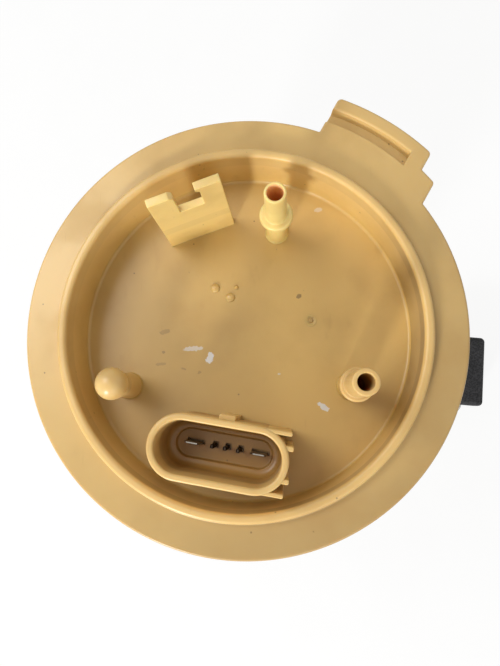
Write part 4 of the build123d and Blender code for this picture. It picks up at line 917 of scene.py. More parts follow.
# Die-cast aluminium has a pale, slightly grainy skin without sharp highlights.
CAST = Metal("die_cast_aluminium", "#B9BABA", "#929494", 0.45, Pattern.GRAIN, 0.7, 0.05)
# Sintered bronze is brown and dull, because its pores hold oil.
BRONZE = Metal("sintered_bronze", "#A88457", "#806040", 0.50, Pattern.GRAIN, 0.4, 0.04)
# Turned brass is a clear yellow, with rings that catch the light.
BRASS = Metal("turned_brass", "#CDAE68", "#A98B4B", 0.25, Pattern.TURNED, 0.4, 0.01)
# Enamelled copper is orange brown, striped by the wires that lie side by side.
COPPER = Metal("wound_enamelled_copper", "#B86F45", "#85482B", 0.32, Pattern.WOUND, 0.7, 0.12)
# Stacked sheets of electrical steel show as fine level lines, darker and lighter grey.
LAMINATION = Metal("stacked_electrical_steel", "#6C6C6E", "#4A4A4C", 0.42, Pattern.STACKED, 0.5, 0.05)
# Sintered ferrite is charcoal grey and matt, like dark stone.
FERRITE = Finish("sintered_ferrite", "#3A3A3D", "#29292B", 0.60, Pattern.GRAIN, 0.5, 0.03)
# Pressed carbon is black, with rings where it has been rubbed smooth.
CARBON = Finish("pressed_carbon", "#2C2C2C", "#1C1C1C", 0.50, Pattern.TURNED, 0.4, 0.02)
# The alumina card is off-white under a lattice of dark resistor paste.
CERAMIC = Finish("thick_film_on_alumina", "#E6E4DC", "#3E3A36", 0.35, Pattern.WOVEN, 1.5, 0.02)
# Moulded phenolic is chocolate brown with a low gloss.
PHENOLIC = Finish("moulded_phenolic_brown", "#5A3A22", "#402815", 0.42, Pattern.GRAIN, 0.5, 0.02)
# Cast resin is nearly black and glossy, and its face is gently uneven.
EPOXY = Finish("cast_potting_resin", "#1E1B18", "#120F0D", 0.15, Pattern.GRAIN, 3.0, 0.05)
# Extruded black nylon is smooth, so it shows long soft highlights.
NYLON = Finish("extruded_nylon_black", "#27272A", "#161618", 0.30, Pattern.GRAIN, 0.9, 0.02)
# Extruded insulation is evenly red with a waxy sheen.
RED_LEAD = Finish("extruded_insulation_red", "#9E2B23", "#7C1D17", 0.35, Pattern.GRAIN, 0.7, 0.01)
# Woven nylon is milky and shows its threads. They are 0.7 mm apart, three times as coarse as real
# ones, so that they show.
MESH = Finish("woven_nylon_mesh", "#E9E7DC", "#A9A48F", 0.55, Pattern.WOVEN, 0.7, 0.25)

# The solids of the frame that stay in view, each with its finish.
NODE_FINISH = {
    "terminal_potting": EPOXY, "inner_plug": BLACK, "guide_rods": ZINC, "rod_clips": WIRE,
    "swirl_pot": NATURAL, "pot_cover": BLACK, "guide_bushes": TURNED_ACETAL, "pump_shell": ZINC,
    "inlet_cover": CAST, "chamber_plate": CAST, "lower_bearing": BRONZE, "upper_bearing": BRONZE,
    "motor_magnets": FERRITE, "motor_brushes": CARBON, "brush_springs": WIRE,
    "pump_end_cap": GLASS_FILLED, "pump_plug": BLACK, "pump_isolator": RUBBER,
    "pump_cradle": BLACK, "pump_foot_ring": RUBBER, "strainer_collar": TURNED_ACETAL,
    "jet_pump_body": BLACK, "jet_nozzle": BRASS, "sender_housing": BLACK, "sender_card": CERAMIC,
    "motor_shaft": ZINC, "impeller": PHENOLIC, "armature_core": LAMINATION,
    "armature_windings": COPPER, "commutator": COPPER, "outlet_valve": BRASS,
    "fill_valve": RUBBER, "wiper_hub": TURNED_ACETAL, "wiper_contacts": BRASS,
    "float_arm": STAINLESS,
}


def dress(obj: Piece, finish: Finish | UsedAcetal) -> Piece:
    """Give an object one finish all over.

    Args:
        obj: The object.
        finish: Its finish.

    Returns:
        The same object.
    """
    obj.data.materials.clear()
    obj.data.materials.append(finish.material())
    return obj


def report(obj: Piece) -> None:
    """Log one finished piece."""
    log.info("%s: %d faces", obj.name, len(obj.data.polygons))


# ---------------------------------------------------------------- flange moulding
@dataclass(frozen=True)
class TerminalSet:
    """Equal flat bars side by side, with their places along the connector."""

    name: str
    offsets: tuple[float, ...]
    width: float
    thick: float
    chamfer: float
    finish: Finish


@dataclass
class FlangeMoulding:
    """The tan flange: plate with recess, stems, plugged port, hose clip, connector shroud and tab.

    Its origin is the middle of the plate's underside. A name that ends in _r is a radius, _l a
    length, _w a width, _h a height and _t a thickness.
    """

    plate_r: float = 85.0 * MM
    plate_t: float = 4.5 * MM
    lip_r: float = 71.5 * MM
    lip_h: float = 3.5 * MM
    cup_r: float = 67.8 * MM
    spigot_r: float = 71.0 * MM
    floor: float = -14.2 * MM
    under: float = -17.2 * MM
    draft: float = 0.5 * MM
    stem_tip: float = 30.0 * MM
    bead_r: float = 6.5 * MM
    bead_t: float = 2.8 * MM
    bead_mid: float = 7.0 * MM
    bore_r: float = 2.95 * MM
    supply: Pair = (42.4 * MM, -21.2 * MM)
    supply_r: float = 4.745 * MM
    back: Pair = (13.1 * MM, 43.9 * MM)
    back_r: float = 4.08 * MM
    plug: Pair = (-48.5 * MM, -20.8 * MM)
    plug_h: float = 24.2 * MM
    ball_r: float = 6.1 * MM
    shroud: Place = Place((-7.7 * MM, -45.5 * MM, 0.0), radians(-9.6))
    shroud_l: float = 50.4 * MM
    shroud_w: float = 23.0 * MM
    shroud_wall: float = 2.6 * MM
    shroud_top: float = 15.8 * MM
    shroud_more: Pair = (0.9 * MM, 1.1 * MM)
    socket: float = -7.7 * MM
    pocket: float = -9.5 * MM
    well_h: float = 2.6 * MM
    terminal_sets: tuple[TerminalSet, ...] = (
        TerminalSet("power_terminals", (-13.0 * MM, 13.0 * MM), 6.3 * MM, 0.8 * MM, 1.0 * MM, BLADE),
        TerminalSet("signal_terminals", (-5.05 * MM, 0.0, 5.05 * MM), 1.5 * MM, 1.5 * MM, 0.45 * MM,
                    SHADED_PINS),
    )
    terminal_mid: Pair = (0.5 * MM, 0.3 * MM)
    terminal_above: float = 7.2 * MM
    terminal_below: float = 10.0 * MM
    sunk: float = 0.5 * MM
    clip: Place = Place((-31.75 * MM, 38.57 * MM, -14.2 * MM), radians(19.7), True)
    clip_l: float = 28.5 * MM
    clip_h: float = 45.7 * MM
    clip_t: float = 3.1 * MM
    clip_arm: float = 10.2 * MM
    clip_hook: float = 1.5 * MM
    notch_end: float = 19.7 * MM
    notch_floor: float = 31.8 * MM
    tab_turn: float = radians(60.3)
    tab_r: float = 101.1 * MM
    step_r: float = 93.7 * MM
    tab_left: float = 12.7 * MM
    tab_right: float = -30.0 * MM
    tab_end: float = -36.6 * MM
    tab_drop: float = 3.5 * MM
    slot_r: float = 89.6 * MM
    slot_w: float = 6.0 * MM
    slot_h: float = 3.4 * MM
    slot_draft: float = 1.0 * MM
    slot_stop: float = -23.0 * MM
    slot_past: float = 17.0 * MM
    rods: Pair = (44.2 * MM, 16.1 * MM)
    root_r: float = 3.2 * MM
    root_l: float = 3.0 * MM
    barb_l: float = 9.6 * MM
    teeth: int = 3
    tooth: float = 0.45 * MM
    elbow_z: float = -24.5 * MM
    elbow_turn: float = radians(-40.0)
    bend_r: float = 4.0 * MM

    def outline(self) -> Array:
        """Plan outline of the plate: its circle and the stepped tab, with rounded corners.

        Returns:
            Points, anticlockwise, with the tab along the first axis.
        """
        parts = []
        for radius, start, end, count in ((self.step_r, self.tab_end, self.tab_right, 14),
                                          (self.tab_r, self.tab_right, self.tab_left, 70)):
            parts.append(arc_points(radius, np.arcsin(start / radius), np.arcsin(end / radius), count))
        start, end = np.arcsin(self.tab_left / self.plate_r), np.arcsin(self.tab_end / self.plate_r)
        parts.append(arc_points(self.plate_r, start, end + 2 * pi, 280))
        radii = [np.zeros(len(part)) for part in parts]
        for part, (first, last) in zip(radii, ((1.6, 0.6), (1.9, 1.9), (0.5, 0.5))):
            part[0], part[-1] = first * MM, last * MM
        return rounded(np.concatenate(parts), np.concatenate(radii), 7)

    def plate(self) -> Piece:
        """Plate with its tab, lip, recess cup and spigot in one closed surface.

        The middle is a profile turned about the axis. From the foot of the lip outwards each column
        of points runs to its own point of the plan outline, round the edge and back underneath. Where
        the outline leaves the circle, the edge's foot drops by the tab's drop.

        Returns:
            The piece, which stands for the CAD flange.
        """
        lip = self.plate_t + self.lip_h
        margin = 0.05 * MM
        middle = rounded(np.array([
            (0.0, self.floor), (self.cup_r - self.draft, self.floor), (self.cup_r, lip),
            (self.lip_r, lip), (self.lip_r + self.draft / 4, self.plate_t),
            (self.lip_r + 3.0 * MM, self.plate_t),
        ]), np.array([0.0, 1.4, 1.5, 1.5, 0.9, 0.0]) * MM, 9, closed=False)
        below = rounded(np.array([
            (self.plate_r - MM, 0.0), (self.spigot_r, 0.0), (self.spigot_r - self.draft, self.under),
            (0.0, self.under),
        ]), np.array([0.0, 0.6, 2.0, 0.0]) * MM, 7, closed=False)
        outline = self.outline()
        inward = inward_normals(outline)
        turn = np.arctan2(outline[:, 1], outline[:, 0])
        ring = np.stack([np.cos(turn), np.sin(turn)], 1)
        off_circle = np.hypot(outline[:, 0], outline[:, 1]) > self.plate_r + margin
        low = np.where(off_circle, -self.tab_drop, 0.0)
        edge = edge_rows(0.0, self.plate_t, 0.4 * MM, 1.0 * MM, 6)[::-1]
        rows = [np.column_stack([ring * r, np.full(len(ring), z)]) for r, z in middle]
        for z, inset in edge:
            share = max(0.0, 1.0 - z / MM)
            rows.append(np.column_stack([outline + inward * inset, z + low * share]))
        rows.append(np.column_stack([ring * (self.plate_r - MM), low]))
        rows += [np.column_stack([ring * r, np.full(len(ring), z)]) for r, z in below]
        obj = Surface().grid(np.array(rows)).place(Place(turn=self.tab_turn)).piece("flange_plate")
        holes = []
        for at in (self.supply, self.back):
            below, above = self.floor - self.sunk, self.floor + MM
            hole = np.array([(0.0, below), (self.bore_r, below), (self.bore_r, above), (0.0, above)])
            holes.append(revolve(hole, 40, at=at))
        cut(obj, self.tab_slot(), *holes)
        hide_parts("flange")
        return obj

    def tab_slot(self) -> Surface:
        """Space of the arc slot in the tab: open at its left end, with a drafted outer wall.

        Returns:
            The closed surface of the space, whose outer edge widens in a quarter circle.
        """
        inner, outer_r, stop, past = self.slot_r, self.slot_r + self.slot_w, self.slot_stop, self.slot_past
        edge_r = 1.0 * MM
        turn = np.linspace(0.0, pi / 2, 7)
        round_z = self.plate_t - edge_r * (1.0 - np.sin(turn))
        round_out = outer_r + edge_r * (1.0 - np.cos(turn))
        walls = [(self.plate_t - self.slot_h, outer_r - self.slot_draft), *zip(round_z, round_out),
                 (self.plate_t + MM, outer_r + edge_r)]
        back = arc_points(inner, np.arcsin(past / inner), np.arcsin(stop / inner), 40)
        levels = []
        for z, outer in walls:
            front = arc_points(outer, np.arcsin(stop / outer), np.arcsin(past / outer), 40)
            loop = np.concatenate([front, back])
            levels.append(np.column_stack([loop, np.full(len(loop), z)]))
        return Surface().grid(np.array(levels), caps=True).place(Place(turn=self.tab_turn))

    def stem(self, name: str, at: Pair, radius: float) -> Piece:
        """Hollow quick-connect stem with its bead and a flared root.

        Args:
            name: Name of the piece.
            at: The stem's axis.
            radius: Radius of the sealing part.

        Returns:
            The piece.
        """
        high = self.bead_mid + self.bead_t / 2
        low = self.bead_mid - self.bead_t / 2
        root, flare = self.floor - MM, radius + 0.9 * MM
        corners = np.array([
            (self.bore_r, root), (flare, root), (flare, self.floor),
            (radius + 0.15 * MM, self.floor + 1.0 * MM), (radius + 0.1 * MM, low), (self.bead_r, low),
            (self.bead_r, high), (radius, high), (radius - 0.08 * MM, self.stem_tip),
            (self.bore_r, self.stem_tip),
        ])
        radii = np.array([0.0, 0.0, 0.0, 0.6, 0.4, 0.9, 0.9, 0.5, 0.5, 0.35]) * MM
        return revolve(rounded(corners, radii, 7), 72, closed=True, at=at).piece(name)

    def plugged_port(self) -> Piece:
        """Closed stub with a ball head: a neck that swells into a sphere.

        Returns:
            The piece.
        """
        mid = self.floor + self.plug_h
        ball = arc_points(self.ball_r, radians(-50), radians(90), 22) + np.array([0.0, mid])
        neck = np.array([
            (0.0, self.floor - MM), (5.8 * MM, self.floor - MM), (5.7 * MM, self.floor),
            (5.2 * MM, self.floor + 1.0 * MM), (5.0 * MM, mid - 7.0 * MM), tuple(ball[0]),
        ])
        lower = rounded(neck, np.array([0, 0, 0.1, 0.6, 2.5, 0]) * MM, 6, closed=False)
        return revolve(np.concatenate([lower, ball]), 64, at=self.plug).piece("plugged_port")

    def hose_clip(self) -> Piece:
        """Standing plate with a notch open at the top and a hooked arm.

        Returns:
            The piece.
        """
        long, high, arm, draft, bevel = self.clip_l, self.clip_h, self.clip_arm, 0.6 * MM, 1.6 * MM
        end, hook = self.notch_end, self.notch_end - self.clip_hook
        corners = np.array([
            (0.0, -self.sunk), (long, -self.sunk), (long - draft, high), (hook, high),
            (hook, high - 1.7 * MM), (end, high - 3.1 * MM), (end, self.notch_floor),
            (arm, self.notch_floor), (arm, high - bevel), (arm - bevel, high), (draft, high),
        ])
        radii = np.array([0.0, 0.0, 0.5, 0.35, 0.3, 0.4, 0.5, 0.5, 0.5, 0.5, 0.5]) * MM
        rows = edge_rows(0.0, self.clip_t, 0.35 * MM, 0.35 * MM, 4)
        return prism(rounded(corners, radii, 5), rows).place(self.clip).piece("hose_clip")

    def connector(self) -> Piece:
        """Connector shroud: one outline carried up, over the rim and down into the socket.

        Returns:
            The piece, with a well round each terminal's foot.
        """
        wall = self.shroud_wall
        rim = rounded(np.array([
            (self.floor - self.sunk, 0.0), (self.shroud_top, 0.0), (self.shroud_top, wall),
            (self.socket, wall + 0.35 * MM), (self.socket, wall + 3.6 * MM), (self.pocket, wall + 4.0 * MM),
            (self.pocket, wall + 5.0 * MM),
        ]), np.array([0.0, 0.9, 0.9, 2.8, 0.5, 0.5, 0.0]) * MM, 7, closed=False)
        more = np.array(self.shroud_more)
        outline = stadium(self.shroud_l + more[0], self.shroud_w + more[1], 144) - more * (0.5, 0.25)
        obj = prism(outline, rim).place(self.shroud).piece("connector_shroud")
        rows = np.array([(self.pocket - self.well_h, 0.0), (self.pocket + MM, 0.0)])
        blade, pin = (7.4 * MM, 1.9 * MM), (2.5 * MM, 2.5 * MM)
        wells = [block(size, rows, 0.3 * MM, (along * MM, 0.6 * MM)).place(self.shroud)
                 for along, size in ((-12.0, blade), (14.0, blade), (-4.05, pin), (1.0, pin), (6.05, pin))]
        return cut(obj, *wells)

    def rails(self) -> list[Piece]:
        """Corner rails, nubs and the key that stand on the shroud's outside.

        Returns:
            The pieces.
        """
        half_l = self.shroud_l / 2
        half_w = self.shroud_w / 2
        top = self.shroud_top - 0.15 * MM
        rail, nub, key = (half_w, 1.5 * MM), (3.6 * MM, 1.8 * MM), (6.1 * MM, 3.0 * MM)
        sizes = []
        for side, name in ((1, "back"), (-1, "front")):
            rail_at = (half_l - 0.4 * MM - half_w / 2, side * (half_w - rail[1] / 2))
            sizes.append((f"connector_rail_{name}", rail_at, rail, top))
            nub_at = (half_l - 1.0 * MM, side * 5.7 * MM)
            sizes.append((f"connector_nub_{name}", nub_at, nub, top - 0.4 * MM))
        key_at = (0.6 * MM, half_w + 0.5 * MM)
        sizes.append(("connector_key", key_at, key, self.shroud_top - 5.0 * MM))
        pieces = []
        for name, at, size, high in sizes:
            rows = edge_rows(self.floor - self.sunk, high, 0.1 * MM, 0.35 * MM, 4)
            pieces.append(block(size, rows, 0.6 * MM, at).place(self.shroud).piece(name))
        return pieces

    def marks(self) -> list[Piece]:
        """Ejector bumps and the gate mark on the recess floor.

        Returns:
            The pieces.
        """
        pieces = []
        base = np.array([0.0, self.floor])
        sunk = -0.3
        # Each bump's place and radius, in millimetres.
        bumps = ((-13.0, 20.2, 1.95), (-6.6, 16.1, 1.95), (-4.1, 20.4, 0.9))
        for index, (x, y, radius) in enumerate(bumps):
            dome = arc_points(1.0, 0.0, pi / 2, 9) * np.array([radius, 1.0])
            profile = np.concatenate([[(0.0, sunk), (radius, sunk)], dome]) * MM + base
            pieces.append(revolve(profile, 28, at=(x * MM, y * MM)).piece(f"floor_bump_{index}"))
        ring = np.array([(0.0, sunk), (2.6, sunk), (2.6, 0.12), (1.9, 0.2), (1.6, 0.05), (1.0, 0.1),
                         (0.8, 0.6), (0.0, 0.7)]) * MM + base
        pieces.append(revolve(ring, 36, at=(26.8 * MM, 6.0 * MM)).piece("gate_mark"))
        return pieces

    def terminals(self) -> None:
        """Build the blades and the pins: bars with chamfered tips that stand in the socket."""
        low, tip = self.under - self.terminal_below, self.socket + self.terminal_above
        for kind in self.terminal_sets:
            half, side, edge = kind.width / 2, kind.thick / 2, 0.18 * MM
            shoulder = tip - 1.3 * kind.chamfer
            outline = np.array([
                (-half, low), (half, low), (half, shoulder), (half - kind.chamfer, tip),
                (kind.chamfer - half, tip), (-half, shoulder),
            ])
            rows = np.array([(-side, edge), (edge - side, 0.0), (side - edge, 0.0), (side, edge)])
            bars = Surface()
            for offset in kind.offsets:
                at = Place((self.terminal_mid[0] + offset, self.terminal_mid[1], 0.0), 0.0, True)
                bars.join(prism(outline, rows).place(at).place(self.shroud))
            obj = dress(bars.piece(f"{kind.name}_chamfered"), kind.finish)
            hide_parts(kind.name)
            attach(obj, FLANGE)
            report(obj)

    def rod_bosses(self) -> list[Piece]:
        """Sockets below the floor that hold the guide rods.

        Returns:
            The left one and the right one.
        """
        pieces = []
        corners = np.array([(4.05, -29.2), (5.9, -29.2), (6.1, -17.0), (4.05, -17.0)]) * MM
        socket = rounded(corners, np.array([0.3, 0.5, 0.0, 0.0]) * MM, 4)
        for name, side in (("left", -1), ("right", 1)):
            at = (side * self.rods[0], self.rods[1])
            pieces.append(revolve(socket, 56, closed=True, at=at).piece(f"rod_boss_{name}"))
        return pieces

    def barbs(self) -> list[Piece]:
        """Hose nipples below the two stems: a straight one, and an elbow with a quarter bend.

        Returns:
            The return stem's nipple and the supply stem's.
        """
        top, low = self.under + self.sunk, self.under - self.root_l - self.barb_l
        far = self.root_r + self.root_l + self.barb_l
        straight = np.linspace((0.0, 0.0, top), (0.0, 0.0, low), 70)
        turn = np.linspace(0.0, pi / 2, 16)
        bend = np.stack([np.cos(turn) - 1.0, 0.0 * turn, -np.sin(turn)], 1) * self.bend_r
        bend[:, 2] += self.elbow_z + self.bend_r
        run = np.linspace(bend[-1], (-far, 0.0, self.elbow_z), 60)
        drop = np.linspace((0.0, 0.0, top), bend[0], 8)
        bent = np.concatenate([drop[:-1], bend[:-1], run])
        return [self.nipple("return_barb", straight, Place((*self.back, 0.0))),
                self.nipple("supply_elbow", bent, Place((*self.supply, 0.0), self.elbow_turn))]

    def nipple(self, name: str, path: Array, place: Place) -> Piece:
        """Hose nipple whose last stretch has teeth, each steep towards the root.

        With d the distance from the end, the radius over the teeth is root + tooth * frac(d / pitch).
        Past them it widens to a collar.

        Args:
            name: Name of the piece.
            path: Points of its middle line, from the floor outwards.
            place: Where the line starts from.

        Returns:
            The piece.
        """
        steps = np.linalg.norm(np.diff(path, axis=0), axis=1)
        left = np.concatenate([np.cumsum(steps[::-1])[::-1], [0.0]])
        tooth = np.where(left < self.barb_l, (left * self.teeth / self.barb_l) % 1.0, 0.0) * self.tooth
        stop = self.root_l + self.barb_l
        neck = np.interp(left, (stop - 1.0 * MM, stop), (0.0, 0.5 * MM))
        radius = self.root_r + tooth + neck
        return tube_along(path, radius, (0.0, 1.0, 0.0), 40).place(place).piece(name)

    def build(self) -> None:
        """Build, dress and report every piece of the moulding."""
        pieces = [self.plate(), self.stem("supply_stem", self.supply, self.supply_r),
                  self.stem("return_stem", self.back, self.back_r), self.plugged_port(), self.hose_clip(),
                  self.connector(), *self.rails(), *self.marks(), *self.rod_bosses(), *self.barbs()]
        # The mouth takes painted shade; the return stem and the clip take a paler tan that is painted light.
        shaded_and_lit = {"connector_shroud": MOUTH, "return_stem": LIT_STEM, "hose_clip": LIT_TAN}
        for obj in pieces:
            dress(obj, shaded_and_lit.get(obj.name, TAN))
            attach(obj, FLANGE)
            report(obj)
        self.terminals()


# ---------------------------------------------------------------- soft and sprung pieces
@dataclass(frozen=True)
class Coil:
    """One open compression spring whose end turns lie almost flat."""

    radius: float
    wire: float
    low: float
    high: float
    turns: float
    dead: float

    def surface(self, at: Pair) -> Surface:
        """Helix round an upright axis, as a bar of round wire.

        A path point at turn u lies at (r cos u, r sin u, h(u)). The height h rises by a little more
        than the wire's thickness on each dead turn and evenly on the others.

        Args:
            at: The axis's place.

        Returns:
            The closed surface.
        """
        steps_per_turn, gap_share = 80, 1.025
        turn = np.linspace(0.0, self.turns, int(steps_per_turn * self.turns))
        closed = 2 * self.wire * gap_share
        span = self.high - self.low - 2 * self.wire
        knots = np.array([0.0, self.dead, self.turns - self.dead, self.turns])
        rise = np.interp(turn, knots, np.array([0.0, closed, span - closed, span]))
        height = rise + self.low + self.wire
        around = turn * 2 * pi
        ring = np.stack([np.cos(around), np.sin(around)], 1) * self.radius + np.array(at)
        return tube_along(np.column_stack([ring, height]), self.wire, (0.0, 0.0, 1.0), 12)


@dataclass
class Springs:
    """The two springs round the guide rods and the small one over the outlet valve."""

    guide: Coil = Coil(7.0 * MM, 0.7 * MM, -59.95 * MM, -17.25 * MM, 8.0, 1.0)
    guide_at: Pair = (44.2 * MM, 16.1 * MM)
    slide: float = 25.0 * MM
    valve: Coil = Coil(1.6 * MM, 0.25 * MM, -62.54 * MM, -53.06 * MM, 4.5, 0.5)
    valve_at: Pair = (-8.0 * MM, -4.0 * MM)
    lift: float = 1.5 * MM

    def spring(self, name: str, coil: Coil, at: Pair, body: str) -> None:
        """One spring, held by the body at its upper end.

        Args:
            name: CAD node that it stands for.
            coil: Its shape.
            at: Its axis.
            body: Body that holds its upper end.
        """
        obj = dress(coil.surface(at).piece(f"coil_{name}"), WIRE)
        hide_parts(name)
        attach(obj, body)
        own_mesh(obj)
        report(obj)

    def build(self) -> None:
        """Build the three springs."""
        for name, side in (("left_spring", -1), ("right_spring", 1)):
            at = (side * self.guide_at[0], self.guide_at[1])
            self.spring(name, self.guide, at, FLANGE)
        self.spring("outlet_valve_spring", self.valve, self.valve_at, RESERVOIR)


@dataclass
class StrainerBag:
    """The strainer: two layers of woven nylon welded together along their edge."""

    length: float = 60.0 * MM
    width: float = 24.0 * MM
    corner: float = 7.0 * MM
    low: float = -160.6 * MM
    high: float = -154.0 * MM
    weld: float = 0.84
    weld_t: float = 0.5 * MM
    pucker: float = 0.12 * MM
    puckers: int = 31
    at: Pair = (11.0 * MM, -4.0 * MM)

    def build(self) -> None:
        """Build the bag: the outline drawn in by k, at a height that bulges inside the weld.

        With h and w half of the bag's and the weld's thickness, both layers stand off the middle by
        (h - w) (1 - (k / weld)^4)^0.6 + w. The weld waves along the outline.
        """
        half = np.array([self.length, self.width]) / 2
        corners = np.array([[-1, -1], [1, -1], [1, 1], [-1, 1]]) * half
        outline = resample(rounded(corners, self.corner, 12), 220)
        draw = np.concatenate([np.linspace(0.02, self.weld, 22), np.linspace(self.weld + 0.02, 1.0, 6)])
        bulge = np.clip(1.0 - (np.minimum(draw, self.weld) / self.weld) ** 4, 0.0, 1.0) ** 0.6
        thick = (self.high - self.low) / 2 - self.weld_t / 2
        around = np.linspace(0.0, 2 * pi, len(outline), endpoint=False)
        wave = self.pucker * np.cos(around * self.puckers)
        fade = 0.14
        edge = np.clip(draw - self.weld + fade, 0.0, fade)[:, None] / fade * wave[None]
        stand = thick * bulge + self.weld_t / 2
        middle = (self.high + self.low) / 2
        flat = outline[None] * draw[:, None, None] + np.array(self.at)
        under = np.concatenate([flat, (middle - stand[:, None] + edge)[..., None]], -1)
        over = np.concatenate([flat, (middle + stand[:, None] + edge)[..., None]], -1)[::-1]
        bag = Surface().grid(np.concatenate([under, over]), caps=True)
        obj = dress(bag.piece("strainer_pillow"), MESH)
        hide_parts("strainer_bag")
        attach(obj, RESERVOIR)
        report(obj)


@dataclass
class Hoses:
    """The supply and the return hose: corrugated nylon with smooth cuffs."""

    radius: float = 4.7 * MM
    bore: float = 3.7 * MM
    cuff: float = 13.0 * MM
    pitch: float = 2.6 * MM
    groove: float = 0.75 * MM
    thinnest: float = 0.2 * MM
    step: float = 0.4 * MM

    def hose(self, name: str, route: Array, lean: Point) -> None:
        """One hose: its radius dips in a cosine between the two cuffs, and fades in over 2 mm.

        Args:
            name: CAD node that the hose stands for.
            route: Control points of its middle line.
            lean: Direction that the line never runs along.
        """
        path = smooth_route(route * MM, self.step)
        along = np.concatenate([[0.0], np.cumsum(np.linalg.norm(np.diff(path, axis=0), axis=1))])
        fade = 2.0 * MM
        inner = np.clip(np.minimum(along, along[-1] - along) - self.cuff, 0.0, fade) / fade
        wave = 0.5 - 0.5 * np.cos(2 * pi * along / self.pitch)
        radius = self.radius - self.groove * inner * wave
        bore = min(self.bore, self.radius - self.groove - self.thinnest)
        obj = dress(tube_along(path, radius, lean, 28, bore).piece(f"{name}_tube"), NYLON)
        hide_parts(name)
        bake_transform(obj)
        report(obj)

    def build(self) -> None:
        """Build both hoses along their routes, in millimetres."""
        supply = np.array([
            (37.65, -17.21, -24.5), (24.02, -5.77, -24.5), (11.0, 9.0, -34.0), (-10.0, 15.5, -45.0),
            (-33.0, 14.0, -52.3), (-33.0, -4.0, -54.3), (-14.4, -4.0, -54.3),
        ])
        self.hose("supply_hose", supply, (0.15, 0.25, 1.0))
        back = np.array([
            (13.1, 43.9, -20.2), (13.1, 43.9, -72.0), (6.1, 44.7, -106.8), (13.1, 43.9, -125.6),
            (13.1, 43.9, -141.6),
        ])
        self.hose("return_hose", back, (0.1, 1.0, 0.0))


@dataclass
class Leads:
    """The insulated wires from the connector to the pump and to the level sender."""

    radius: float = 1.1 * MM
    step: float = 0.7 * MM
    lean: Point = (1.0, 0.1, 0.0)

    def wires(self, name: str, routes: tuple[Sequence[Point], ...]) -> None:
        """The wires of one CAD node, each a tube along the spline of its route.

        Args:
            name: CAD node that the wires stand for.
            routes: Control points of each wire, in millimetres.
        """
        surface = Surface()
        for route in routes:
            path = smooth_route(np.array(route) * MM, self.step)
            surface.join(tube_along(path, self.radius, self.lean, 16))
        obj = dress(surface.piece(f"{name}_wires"), RED_LEAD)
        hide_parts(name)
        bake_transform(obj)
        report(obj)

    def build(self) -> None:
        """Build both groups of wires along their routes, in millimetres."""
        pump = (
            ((0.344, -39.913, -31.7), (1.678, -32.025, -31.7), (3.0, -16.0, -34.7),
             (2.0, -12.0, -45.0), (2.0, -12.0, -54.0)),
            ((4.288, -40.58, -31.7), (5.622, -32.692, -31.7), (7.0, -16.0, -34.7),
             (6.0, -12.0, -45.0), (6.0, -12.0, -54.0)),
        )
        self.wires("pump_leads", pump)
        sender = (
            ((-15.544, -49.903, -31.7), (-16.545, -55.819, -31.7), (-19.338, -54.532, -43.7),
             (-18.938, -53.032, -63.0), (-18.338, -47.032, -72.0), (-18.338, -47.032, -81.0)),
            ((-11.6, -50.571, -31.7), (-12.601, -56.487, -31.7), (-15.355, -54.894, -43.7),
             (-14.955, -53.394, -63.0), (-14.355, -47.394, -72.0), (-14.355, -47.394, -81.0)),
            ((-7.656, -51.238, -31.7), (-8.657, -57.154, -31.7), (-11.371, -55.257, -43.7),
             (-10.971, -53.757, -63.0), (-10.371, -47.757, -72.0), (-10.371, -47.757, -81.0)),
        )
        self.wires("sender_leads", sender)


@dataclass
class TankSeal:
    """The moulded seal between the flange and the tank neck."""

    inner: float = 71.3 * MM
    width: float = 5.0 * MM
    height: float = 5.0 * MM
    bead: float = 0.6 * MM

    def build(self) -> None:
        """Build the seal: a ring with a bead along each face, from 0.3 to 0.7 of its width."""
        near, far, low = self.inner, self.inner + self.width, -self.height
        first, last = near + self.width * 0.3, near + self.width * 0.7
        corners = np.array([
            (near, low + self.bead), (first, low), (last, low), (far, low + self.bead),
            (far, -self.bead), (last, 0.0), (first, 0.0), (near, -self.bead),
        ])
        obj = revolve(rounded(corners, 0.5 * MM, 5), 240, closed=True).piece("seal_ring")
        dress(obj, RUBBER)
        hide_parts("tank_seal")
        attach(obj, FLANGE)
        report(obj)


@dataclass
class LevelFloat:
    """The foam float on the sender's arm."""

    length: float = 44.0 * MM
    width: float = 26.0 * MM
    height: float = 14.0 * MM
    edge: float = 2.6 * MM
    corner: float = 2.8 * MM
    place: Place = Place((130.9095 * MM, -6.8906 * MM, -152.5 * MM), radians(-5.2))

    def build(self) -> None:
        """Build the float: a block whose edges are all rounded."""
        rows = edge_rows(-self.height / 2, self.height / 2, self.edge, self.edge, 8)
        obj = block((self.width, self.length), rows, self.corner).place(self.place).piece("foam_float")
        dress(obj, FOAM)
        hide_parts("float")
        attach(obj, "float_body")
        report(obj)


# ---------------------------------------------------------------- scene
def set_axes(obj: Piece, axes: tuple[Array, Array, Array], at: Point) -> None:
    """Put an object into the scene with its own axes along three directions.

    Args:
        obj: The object.
        axes: Directions of its X, Y and Z.
        at: Its place.
    """
    rows = [[*(axis[i] for axis in axes), at[i]] for i in range(3)]
    obj.matrix_world = Matrix([*rows, [0, 0, 0, 1]])
    bpy.context.scene.collection.objects.link(obj)


def seen_by(nodes: Nodes, *kinds: str) -> Socket:
    """Share that is one for rays of the given kinds.

    Args:
        nodes: Tree that is being built.
        kinds: Kinds of ray, as Blender names them.

    Returns:
        The share.
    """
    rays = [nodes.add("LightPath", output=f"Is {kind} Ray") for kind in kinds]
    return reduce(lambda one, other: nodes.add("Math", (one, other), operation="MAXIMUM"), rays)


